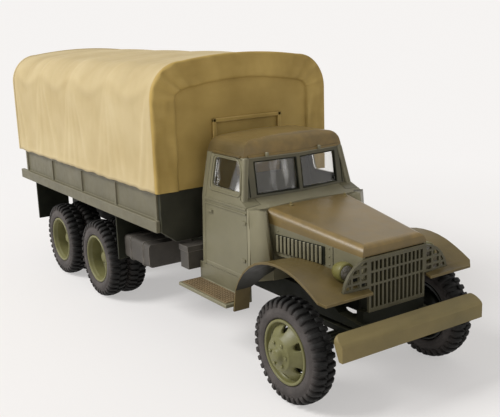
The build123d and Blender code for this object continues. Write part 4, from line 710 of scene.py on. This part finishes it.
def add_leaning_box(form, middle, deep, across, up):
    """Adds a slanted box from its middle and the three ways along its edges."""
    place = Matrix((deep, across, up)).transposed().to_4x4()
    place.translation = middle
    bmesh.ops.create_cube(form, size=1.0, matrix=place)


posts = bmesh.new()
bars = bmesh.new()
rubbers = bmesh.new()
for side in (1, -1):
    mirror = Matrix.Diagonal((1, side, 1))
    foot = mirror @ POST_FOOT * MM
    head = mirror @ POST_HEAD * MM
    post_deep = Vector((POST_SIZE[0] * MM, 0, 0))
    post_across = Vector((0, POST_SIZE[1] * MM, 0))
    add_leaning_box(posts, (foot + head) / 2, post_deep, post_across, head - foot)
    for form, rows in ((bars, SCREEN_BARS), (rubbers, SCREEN_RUBBERS)):
        for inner, outer, low_z, high_z, proud in rows:
            corner = on_screen(side, inner, low_z, proud)
            across = on_screen(side, outer, low_z, proud) - corner
            up = on_screen(side, inner, high_z, proud) - corner
            deep = Vector((BAR_DEPTH * MM, 0, 0))
            add_leaning_box(form, corner + (across + up - deep) / 2, deep, across, up)
for form in (posts, bars, rubbers):
    bmesh.ops.recalc_face_normals(form, faces=form.faces)
rounded_edges(posts, posts.edges[:], POST_ROUNDING, 3)
rounded_edges(bars, bars.edges[:], BAR_ROUNDING)
rounded_edges(rubbers, rubbers.edges[:], RUBBER_ROUNDING, 1)
piece(posts, "corner_posts", sheen_panel_paint, "truck")
piece(bars, "windscreen_frame", screen_paint, "truck")
piece(rubbers, "windscreen_rubber", frame_paint, "truck")

# Window beads and wiper pivots: a raised half-round bead that frames each door's window, moulded with
# the door, and two small blocks over the windscreen that carry the wipers.
BEAD_RADIUS = 0.2
BEAD_CORNER = 1.1
CORNER_STEPS = 6
BELT_Z = 31.3
BELT_HALF = 13.9
SIDE_LEAN = (BELT_HALF - 12.1) / 8.9
# columns: x, z round the window, from its lower rear corner forwards
WINDOW_BEAD = [(24.4, 33.0), (35.6, 33.0), (34.7, 38.3), (33.0, 39.9), (24.4, 39.9)]
PIVOT_SIZE = (0.7, 0.5, 0.9)
PIVOT_PLACES = [(36.1, -7.4, 40.55), (36.1, 5.3, 40.55)]
PIVOT_ROUNDING = 0.14


def bead(name, points, material):
    """A closed bead of plastic along a line of points."""
    line = bpy.data.curves.new(name, "CURVE")
    line.dimensions = "3D"
    line.bevel_depth = BEAD_RADIUS * MM
    line.bevel_resolution = 2
    run = line.splines.new("POLY")
    run.points.add(len(points) - 1)
    for point, spot in zip(run.points, points):
        point.co = (*(spot * MM), 1.0)
    run.use_cyclic_u = True
    line.materials.append(material)
    made = placed(name, line)
    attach(made, "truck")


for side, name in ((1, "left"), (-1, "right")):
    ring = []
    corners = [Vector(corner) for corner in WINDOW_BEAD]
    for before, corner, after in zip(corners[-1:] + corners[:-1], corners, corners[1:] + corners[:1]):
        first = corner + (before - corner).normalized() * BEAD_CORNER
        last = corner + (after - corner).normalized() * BEAD_CORNER
        for step in range(CORNER_STEPS + 1):
            share = step / CORNER_STEPS
            spot = first.lerp(corner, share).lerp(corner.lerp(last, share), share)
            ring.append(Vector((spot.x, side * (BELT_HALF - (spot.y - BELT_Z) * SIDE_LEAN), spot.y)))
    bead("window_bead_" + name, ring, sheen_panel_paint)
pivots = [(place, PIVOT_SIZE) for place in PIVOT_PLACES]
rounded_blocks("wiper_pivots", pivots, PIVOT_ROUNDING, sheen_panel_paint)

# Running boards: flat boards with an apron up to the cab; the tread is a lattice of fine ribs, stained
# rust brown, inside a smooth pale edge.
TREAD_RUST = (0.200, 0.140, 0.072)
TREAD_SHADE = (0.115, 0.085, 0.048)
TREAD_RUBBED = (0.24, 0.17, 0.09)
TREAD_X = (21.3, 37.9)
TREAD_Y = (14.9, 19.1)
TREAD_RIBS = (17, 7)
TREAD_ROUNDING = 0.05
BOARD_TOP = 13.7
SLAB_HEIGHT = 0.16
RIB_HEIGHT = 0.36
CROSS_RIB = 0.3
LONG_RIB = 0.22
tread_paint = brushed_paint("tread paint", TREAD_RUST, TREAD_SHADE, TREAD_RUBBED, rub=0.5)
moulded("running_boards", sheen_panel_paint, BODY_ROUNDING)
centre_x = sum(TREAD_X) / 2
centre_y = sum(TREAD_Y) / 2
length = TREAD_X[1] - TREAD_X[0]
width = TREAD_Y[1] - TREAD_Y[0]
# columns: middle x and y, size of each slab and rib
slabs = [(centre_x, centre_y, (length, width, SLAB_HEIGHT))]
for rib in range(TREAD_RIBS[0] + 1):
    slabs.append((TREAD_X[0] + length * rib / TREAD_RIBS[0], centre_y, (CROSS_RIB, width, RIB_HEIGHT)))
for rib in range(TREAD_RIBS[1] + 1):
    slabs.append((centre_x, TREAD_Y[0] + width * rib / TREAD_RIBS[1], (length, LONG_RIB, RIB_HEIGHT)))
treads = [((x, side * y, BOARD_TOP), size) for side in (1, -1) for x, y, size in slabs]
rounded_blocks("board_treads", treads, TREAD_ROUNDING, tread_paint, 1)

# Cab inside: bench, dashboard and steering wheel, styrene pieces glued in before the roof went on and
# painted one flat dark green, seen only through the panes.
inside_paint = brushed_paint("inside paint", INSIDE_GREEN, FRAME_GREEN, FRAME_DUST, gloss=(0.5, 0.65))
for node in ("bench_seat", "dashboard", "steering_wheel"):
    moulded(node, inside_paint, FRAME_ROUNDING)

# Panes: thin clear styrene, glued in from behind the window openings, with cloudy smears of glue and
# thumb marks on the truck's right.
PANE_TINT = (0.95, 0.95, 0.94)
PANE_ROUNDING = 0.04
pane_plastic = clear_plastic("pane plastic", PANE_TINT, clearness=1.0, streaks=0.6)
moulded("cab_glass", pane_plastic, PANE_ROUNDING)

# Load bed: sides with pressed ribs over a square sill, front board and tailgate, in a greyer, darker olive,
# the grey partly painted sheen; the front board behind the cab is painted nearly black as the cab's painted
# shadow.
BED_SHEEN_OLIVE = (0.134, 0.122, 0.077)
BED_SHEEN_SHADE = (0.108, 0.098, 0.061)
BED_RUBBED = (0.21, 0.19, 0.13)
# Painted shadow: the front board's near-black stands for the cab's shadow on it.
BED_FRONT_SHADOW = (0.040, 0.038, 0.026)
sheen_bed_paint = brushed_paint("bed paint with painted sheen", BED_SHEEN_OLIVE, BED_SHEEN_SHADE, BED_RUBBED, gloss=(0.4, 0.55), rub=0.6)
for node in ("bed_side_left", "bed_side_right", "tailgate"):
    moulded(node, sheen_bed_paint, BODY_ROUNDING)
shadowed_bed_paint = brushed_paint("bed front painted shadow", BED_FRONT_SHADOW, FRAME_GREEN, FRAME_DUST, gloss=(0.5, 0.65),
                               shine=0.2)
moulded("bed_front", shadowed_bed_paint, BODY_ROUNDING)

# Fuel tank and tool box: two closed styrene boxes with soft edges, glued to the right-hand rail between
# the cab and the wheels and painted a dark grey-brown.
TANK_ROUNDING = 0.25
TANK_GREY = (0.070, 0.062, 0.052)
TANK_SHADE = (0.048, 0.043, 0.037)
TANK_RUBBED = (0.22, 0.20, 0.17)
tank_paint = brushed_paint("tank paint", TANK_GREY, TANK_SHADE, TANK_RUBBED, gloss=(0.5, 0.65))
for node in ("fuel_tank", "tool_box"):
    moulded(node, tank_paint, TANK_ROUNDING)

# Canvas cover: one hard moulding of cloth stretched over five bows, sagging between them and hanging
# in soft upright folds down the sides, buff, with ochre painted as shade in the hollows and painted highlight
# on the crests.
CANVAS_BUFF = (0.520, 0.418, 0.228)
CANVAS_OCHRE = (0.462, 0.360, 0.182)
CANVAS_PALE_HIGHLIGHT = (0.62, 0.53, 0.34)
CANVAS_HOLLOW_SHADE = (0.30, 0.215, 0.085)
CANVAS_STROKE = (1, 1, 0.15)
CANVAS_HALF = 21.8
CANVAS_HEM = 31.9
CANVAS_EAVE = 50.6
CANVAS_CORNER = (14.6, 58.0)
CANVAS_CROWN = 59.1
CANVAS_WALL = 0.9
SIDE_RUN = CANVAS_EAVE - CANVAS_HEM
CORNER_RUN = 11.5
CROWN_RUN = 14.7
CLOTH_STEPS = (168, 132)
CLOTH_INSET = 0.12
END_RUN = 1.4
BAYS = 4
BOW_RIDGE = 0.12
BOW_WIDTH = 0.8
SAG = 0.16
SAG_RUN = 4.0
SWAG_Z = 54.2
SWAG_DROP = 3.0
SWAG_DEPTH = 0.1
SWAG_WIDTH = 1.2
SWAG_HOLLOW = 1.9
FOLDS_EACH_WAY = 2
FOLD_TOP = 54.0
FOLD_FOOT = 32.0
FOLD_SPREAD = 3.6
FOLD_STRAY = 1.2
FOLD_UNEVENNESS = 0.35
FOLD_DEPTH = 0.24
FOLD_GATHER = 0.15
FOLD_WIDTH = 0.55
FOLD_WIDENING = 0.65
FOLD_SEED = (3.7, 5.1, 2.6)
SIDE_SEED = 11.3
# columns: depth, length along, length down, seed
RIPPLES = [(0.16, 5.5, 9.0, 4.0), (0.05, 1.6, 3.2, 7.0)]
HEM_BAND = (1.3, 0.9)
HEM_THICKNESS = 0.16
HEM_STIFFNESS = 0.5
HEM_WAVE = 0.35
HEM_WAVE_LENGTH = 4.2
HEM_WAVE_REACH = 3.0
# Painted highlight on the crests and painted shade in the hollows, by the cloth's relief.
# columns: gain on the relief, most
CREST_HIGHLIGHT_GAIN = (1.5, 0.8)
HOLLOW_SHADE_GAIN = (0.9, 0.5)
canvas_paint = brushed_paint("canvas paint", CANVAS_BUFF, CANVAS_OCHRE, CANVAS_PALE_HIGHLIGHT, shade_tone=CANVAS_HOLLOW_SHADE,
                             gloss=(0.6, 0.75), stroke=CANVAS_STROKE, rub=0.7)
canvas_low, canvas_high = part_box("canvas_cover")
canvas_rear = canvas_low.x / MM
canvas_run = (canvas_high.x - canvas_low.x) / MM


def arch(share, inset=0.0):
    """A point (y, z) of the cover's outline and the way out from it, from the right hem at 0, over the
    top, to the left hem at 1."""
    side = -1 if share < 0.5 else 1
    way = (1 - abs(2 * share - 1)) * (SIDE_RUN + CORNER_RUN + CROWN_RUN)
    half = CANVAS_HALF - inset
    reach = CANVAS_CORNER[0] - inset / 2
    top = CANVAS_CORNER[1] - inset
    if way < SIDE_RUN:
        return Vector((side * half, CANVAS_HEM + way)), Vector((side, 0))
    if way < SIDE_RUN + CORNER_RUN:
        turn = (way - SIDE_RUN) / CORNER_RUN * math.pi / 2
        y = reach + (half - reach) * math.cos(turn)
        return (Vector((side * y, CANVAS_EAVE + (top - CANVAS_EAVE) * math.sin(turn))),
                Vector((side * math.cos(turn), math.sin(turn))))
    y = reach * (1 - (way - SIDE_RUN - CORNER_RUN) / CROWN_RUN)
    z = top + (CANVAS_CROWN - CANVAS_CORNER[1]) * (1 - (y / reach) ** 2)
    return Vector((side * y, z)), Vector((0, 1))


def hump(distance, width):
    """A soft ridge that dies away at about twice its width."""
    return math.exp(-(distance / width) ** 2)


def side_folds(x, fall, near, side):
    """The folds that fan out from one bow down a side, where fall is 0 at their top and 1 at their foot."""
    relief = 0.0
    for fold in range(-FOLDS_EACH_WAY, FOLDS_EACH_WAY + 1):
        seed = Vector((near * FOLD_SEED[0] + side * SIDE_SEED, fold * FOLD_SEED[1], FOLD_SEED[2]))
        spread = FOLD_SPREAD * (1 + FOLD_UNEVENNESS * noise.noise(seed))
        lean = fold * spread + FOLD_STRAY * noise.noise(seed * 1.7)
        line = canvas_rear + near * canvas_run / BAYS + lean * (FOLD_GATHER + (1 - FOLD_GATHER) * fall)
        depth = FOLD_DEPTH * (0.75 + 0.6 * noise.noise(seed * 2.3))
        relief += depth * min(4 * fall, 1.0) * hump(x - line, FOLD_WIDTH + FOLD_WIDENING * fall)
    return relief


def cloth_relief(x, z, side):
    """How far the cloth stands out of the plain cover: ridges over the bows, sag and swags between
    them, folds down the sides, ripples and the hem."""
    bay = canvas_run / BAYS
    bow = round((x - canvas_rear) / bay)
    off_bow = x - canvas_rear - bow * bay
    slack = math.sin(math.pi * off_bow / bay) ** 2
    height = ramp(z, CANVAS_EAVE, CANVAS_EAVE + SAG_RUN)
    relief = height * (BOW_RIDGE * hump(off_bow, BOW_WIDTH) - SAG * slack)
    over_swag = z - SWAG_Z + SWAG_DROP * slack
    relief += SWAG_DEPTH * (hump(over_swag, SWAG_WIDTH) - hump(over_swag + SWAG_HOLLOW, SWAG_WIDTH))
    fall = ramp(z, FOLD_TOP, FOLD_FOOT)
    for near in (bow - 1, bow, bow + 1):
        relief += side_folds(x, fall, near, side)
    for depth, along, down, seed in RIPPLES:
        relief += depth * noise.noise(Vector((x / along, z / down, side * seed)))
    hem = ramp(z, CANVAS_HEM + HEM_BAND[0], CANVAS_HEM + HEM_BAND[1])
    end = min(x - canvas_rear, canvas_rear + canvas_run - x)
    relief = relief * (1 - HEM_STIFFNESS * hem) + HEM_THICKNESS * hem - CLOTH_INSET
    return relief * ramp(end, 0.0, END_RUN)


def cloth_sheet(steps_along, steps_across, draped):
    """A flat grid of cloth brought to its place point by point, its crests marked for painted highlight and
    its hollows for painted shade. draped gives the place and the relief for two shares from 0 to 1."""
    form = bmesh.new()
    wear_and_highlight = form.verts.layers.float.new("wear_and_highlight")
    painted_shade = form.verts.layers.float.new("painted_shade")
    bmesh.ops.create_grid(form, x_segments=steps_along, y_segments=steps_across, size=1.0)
    for vert in form.verts:
        place, relief = draped((vert.co.x + 1) / 2, (vert.co.y + 1) / 2)
        vert.co = place * MM
        # Painted highlight on crests, painted shade in hollows.
        vert[wear_and_highlight] = min(max(CREST_HIGHLIGHT_GAIN[0] * relief, 0.0), CREST_HIGHLIGHT_GAIN[1])
        vert[painted_shade] = min(max(-HOLLOW_SHADE_GAIN[0] * relief, 0.0), HOLLOW_SHADE_GAIN[1])
    form.normal_update()
    return form


def over_bows(along, across):
    """The place and the relief of a point of the tunnel, along it from the rear and across it."""
    x = canvas_rear + canvas_run * along
    spot, out = arch(across)
    relief = cloth_relief(x, spot.y, math.copysign(1, spot.x))
    spot += out * relief
    wave = HEM_WAVE * noise.noise(Vector((x / HEM_WAVE_LENGTH, math.copysign(3, spot.x), 0)))
    return Vector((x, spot.x, spot.y + wave * hump(spot.y - CANVAS_HEM, HEM_WAVE_REACH))), relief


form = cloth_sheet(*CLOTH_STEPS, over_bows)
if sum(face.normal.z * face.calc_area() for face in form.faces) < 0:
    bmesh.ops.reverse_faces(form, faces=form.faces)
cover = piece(form, "canvas_tunnel", canvas_paint, "truck", ("canvas_cover",), even=False)
wall = cover.modifiers.new("wall", "SOLIDIFY")
wall.thickness = CANVAS_WALL * MM
wall.offset = -1.0

# Cover's front wall: a wide border gathered round the arch, a sunk panel inside it and the hem of a rolled
# flap; it is painted a darker, browner ochre than the sides as painted shade.
# Painted shade: the front wall's ochre is a darker copy of the cover's colour.
FRONT_SHADED_OCHRE = (0.455, 0.315, 0.092)
FRONT_SHADE = (0.335, 0.225, 0.058)
FRONT_WEAR_AND_HIGHLIGHT = (0.68, 0.50, 0.20)
FRONT_HOLLOW_SHADE = (0.12, 0.078, 0.022)
FRONT_STROKE = (1, 0.25, 1)
PLEATS = 150
PLEAT_DEPTH = 0.13
PLEAT_STRAY = 2.5
PLEAT_SPREAD = 0.07
PLEAT_CORNER = 0.235
BORDER_SIDE_FOLD = 0.3
BORDER_TOP_FOLD = 0.16
PANEL_SLACK = 0.1
PANEL_ROWS = 30
WALL_STEPS = 200
FLAP_SPAN = (-8.0, 9.5)
FLAP_TOP = 46.0
FLAP_FOOT = 41.0
FLAP_HEM = 0.85
FLAP_DEPTH = 0.6
FLAP_BACK = 0.35
FLAP_ROUNDING = 0.16
# columns: inset from the outline, distance behind the wall's face, round the edge from the tunnel
EDGE_ROWS = [(0.25, 1.2), (-0.1, 1.15), (-0.18, 0.85), (-0.16, 0.45), (0.0, 0.15), (0.3, 0.0)]
# columns: the same, from the edge across the border to the panel
BORDER_ROWS = EDGE_ROWS + [(0.7, 0.06), (1.2, 0.1), (1.8, 0.06), (2.4, 0.03), (3.0, 0.05), (3.6, 0.04),
                           (4.2, 0.0), (4.7, 0.03), (5.0, 0.16), (5.12, 0.5), (5.3, 0.62)]
front_shaded_paint = brushed_paint("canvas front shaded paint", FRONT_SHADED_OCHRE, FRONT_SHADE, FRONT_WEAR_AND_HIGHLIGHT, shade_tone=FRONT_HOLLOW_SHADE,
                            gloss=(0.6, 0.75), stroke=FRONT_STROKE, rub=0.6)


def end_wall(node, rows, folds, facing):
    """A wall of the cover: rows follow its outline inwards, then fan out to the hem across the panel."""
    low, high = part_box(node)
    face_x = (high.x if facing > 0 else low.x) / MM
    last = len(rows) + PANEL_ROWS - 1

    def across_wall(share, inwards):
        row = round(inwards * last)
        inset, back = rows[min(row, len(rows) - 1)]
        spot = arch(share, inset)[0]
        if row >= len(rows):
            foot = Vector(((2 * share - 1) * (CANVAS_HALF - inset), CANVAS_HEM))
            spot = spot.lerp(foot, (row - len(rows) + 1) / PANEL_ROWS)
        relief = folds(share, row, spot)
        return Vector((face_x - facing * (back - relief), spot.x, spot.y)), relief

    form = cloth_sheet(WALL_STEPS, last, across_wall)
    if sum(face.normal.x * face.calc_area() for face in form.faces) * facing < 0:
        bmesh.ops.reverse_faces(form, faces=form.faces)
    return form


def gathered(share, row, spot):
    """Pleats fanned round both corners of the border, long folds down its sides, a slack panel."""
    if row < len(EDGE_ROWS) - 1:
        return 0.0
    if row >= len(BORDER_ROWS) - 2:
        return PANEL_SLACK * (noise.noise(Vector((spot.x / 7, spot.y / 2.6, 1.5))) - 1)
    off_corner = abs(abs(share - 0.5) - PLEAT_CORNER)
    stray = PLEAT_STRAY * noise.noise(Vector((share * 40, 0, 0)))
    pleat = PLEAT_DEPTH * math.sin(PLEATS * share + stray) * hump(off_corner, PLEAT_SPREAD)
    inset = BORDER_ROWS[row][0]
    if spot.y < CANVAS_EAVE:
        seed = Vector((inset / 1.5, spot.y / 5.5, math.copysign(3, spot.x)))
        return pleat + BORDER_SIDE_FOLD * noise.noise(seed)
    return pleat + BORDER_TOP_FOLD * noise.noise(Vector((spot.x / 1.5, inset / 2.5, 8)))


front = end_wall("canvas_front", BORDER_ROWS, gathered, 1)
piece(front, "canvas_front_cloth", front_shaded_paint, "truck", ("canvas_front",), even=False)
hems = []
hem_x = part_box("canvas_front")[1].x / MM - FLAP_BACK
# columns: low and high y, low and high z of each hem bar
for low_y, high_y, low_z, high_z in (
    (FLAP_SPAN[0], FLAP_SPAN[1], FLAP_TOP - FLAP_HEM, FLAP_TOP),
    (FLAP_SPAN[0], FLAP_SPAN[0] + FLAP_HEM, FLAP_FOOT, FLAP_TOP),
    (FLAP_SPAN[1] - FLAP_HEM, FLAP_SPAN[1], FLAP_FOOT, FLAP_TOP),
):
    middle = (hem_x, (low_y + high_y) / 2, (low_z + high_z) / 2)
    hems.append((middle, (FLAP_DEPTH, high_y - low_y, high_z - low_z)))
rounded_blocks("canvas_flap_hem", hems, FLAP_ROUNDING, front_shaded_paint)

# Cover's rear wall: a drawn curtain that hangs in upright folds from the last bow, its two halves
# lapped down the middle; moulded and painted as the tunnel is.
CURTAIN_RUN = 18
CURTAIN_PITCH = 1.25
CURTAIN_FOLD = 0.2
CURTAIN_STRAY = 1.2
CURTAIN_UNEVENNESS = 0.12
# columns: height, place across the truck, width
CURTAIN_LAP = (0.22, 0.9, 0.7)
CURTAIN_GROOVE = (0.2, -0.3, 0.35)
REAR_ROWS = EDGE_ROWS + [(0.9, 0.1), (1.5, 0.22)]


def hanging(share, row, spot):
    """Upright folds that deepen towards the hem, and the lap of the two curtain halves."""
    if row < len(EDGE_ROWS):
        return 0.0
    fall = ramp(spot.y, CANVAS_CORNER[1], CANVAS_CORNER[1] - CURTAIN_RUN)
    stray = CURTAIN_STRAY * noise.noise(Vector((spot.x / 6, spot.y / 9, 5)))
    relief = CURTAIN_FOLD * math.sin(CURTAIN_PITCH * spot.x + stray)
    relief += CURTAIN_UNEVENNESS * noise.noise(Vector((spot.x / 2.2, spot.y / 12, 9)))
    for sign, (height, y, width) in ((1, CURTAIN_LAP), (-1, CURTAIN_GROOVE)):
        relief += sign * height * hump(spot.x - y, width)
    return relief * fall


rear = end_wall("canvas_rear", REAR_ROWS, hanging, -1)
piece(rear, "canvas_rear_cloth", canvas_paint, "truck", ("canvas_rear",), even=False)

# Floor: a wide sheet of white card under the model, which keeps the model's shadow and fades to plain
# white far off.
FLOOR_HALF = 6.0
FLOOR_WHITE = (0.82, 0.80, 0.785)
FAR_WHITE = (0.92, 0.90, 0.885)
FLOOR_ROUGHNESS = 0.8
FADE_FROM = 0.06
FADE_TO = 0.21
FADE_LEAST = 0.48
form = bmesh.new()
bmesh.ops.create_grid(form, x_segments=2, y_segments=2, size=FLOOR_HALF)
floor = placed("floor", meshed(form, "floor"))
card, tree, finish = new_finish("white card")
feed(tree, FLOOR_WHITE, finish["Base Color"])
feed(tree, FLOOR_ROUGHNESS, finish["Roughness"])
place = add_node(tree, "TexCoord", {})["Object"]
distance = add_node(tree, "VectorMath", {0: place}, operation="LENGTH")["Value"]
fade = {"Value": distance, "From Min": FADE_FROM, "From Max": FADE_TO, "To Min": FADE_LEAST}
far_share = add_node(tree, "MapRange", fade, interpolation_type="SMOOTHSTEP")["Result"]


def seen_directly(tree):
    """1 for what the camera sees, straight, in gloss or through glass, and 0 for the light on things."""
    path = add_node(tree, "LightPath", {})
    seen = path["Is Camera Ray"]
    for ray in ("Is Glossy Ray", "Is Transmission Ray"):
        seen = add_node(tree, "Math", {0: seen, 1: path[ray]}, operation="MAXIMUM")["Value"]
    return seen


def show_far(tree, share, near, far, output):
    """Leads two shaders, mixed by the share of the far one, to the tree's output."""
    blend = add_node(tree, "MixShader", {"Fac": share, 1: near, 2: far})["Shader"]
    feed(tree, blend, tree.nodes[output].inputs["Surface"])


far_share = product(tree, far_share, seen_directly(tree))
far_light = add_node(tree, "Emission", {"Color": FAR_WHITE})["Emission"]
show_far(tree, far_share, tree.nodes["Principled BSDF"].outputs["BSDF"], far_light, "Material Output")
floor.data.materials.append(card)

# Light: a large soft lamp high on the truck's right, a little behind it, and a weak one ahead, over an
# even pale room.
ROOM_WHITE = (1.0, 0.985, 0.97)
ROOM_LEVEL = 0.42
LAMP_AIM = Vector((0, 0, 0.03))
# columns: name, place, size, power
LAMPS = [
    ("key", (-0.30, -0.72, 0.80), 0.5, 11.2),
    ("fill", (0.75, 0.0, 0.30), 0.7, 0.8),
]
world = bpy.data.worlds.new("room")
bpy.context.scene.world = world
world.use_nodes = True
tree = world.node_tree
room = tree.nodes["Background"]
feed(tree, ROOM_WHITE, room.inputs["Color"])
feed(tree, ROOM_LEVEL, room.inputs["Strength"])
backdrop = add_node(tree, "Background", {"Color": FAR_WHITE})["Background"]
show_far(tree, seen_directly(tree), room.outputs["Background"], backdrop, "World Output")
for name, place, size, power in LAMPS:
    lamp = bpy.data.lights.new(name, "AREA")
    lamp.shape = "DISK"
    lamp.size = size
    lamp.energy = power
    stand = placed(name, lamp)
    stand.location = place
    stand.rotation_mode = "QUATERNION"
    stand.rotation_quaternion = (LAMP_AIM - Vector(place)).to_track_quat("-Z", "Y")

# Camera: a short telephoto, a little above the bonnet's height, off the truck's front right corner.
CAMERA_PLACE = Vector((159.506, -93.654, 65.384)) * MM
CAMERA_YAW = math.radians(146.418)
CAMERA_PITCH = math.radians(-13.198)
CAMERA_ROLL = math.radians(-1.998)
LENS_LENGTH = 57.357
SENSOR_WIDTH = 36.0
lens = bpy.data.cameras.new("camera")
lens.lens = LENS_LENGTH
lens.sensor_width = SENSOR_WIDTH
lens.sensor_fit = "HORIZONTAL"
lens.clip_start = 0.005
camera = placed("camera", lens)
camera.location = CAMERA_PLACE
level = math.cos(CAMERA_PITCH)
ahead = Vector((level * math.cos(CAMERA_YAW), level * math.sin(CAMERA_YAW), math.sin(CAMERA_PITCH)))
camera.rotation_mode = "QUATERNION"
camera.rotation_quaternion = ahead.to_track_quat("-Z", "Y") @ Quaternion((0, 0, 1), CAMERA_ROLL)
bpy.context.scene.camera = camera
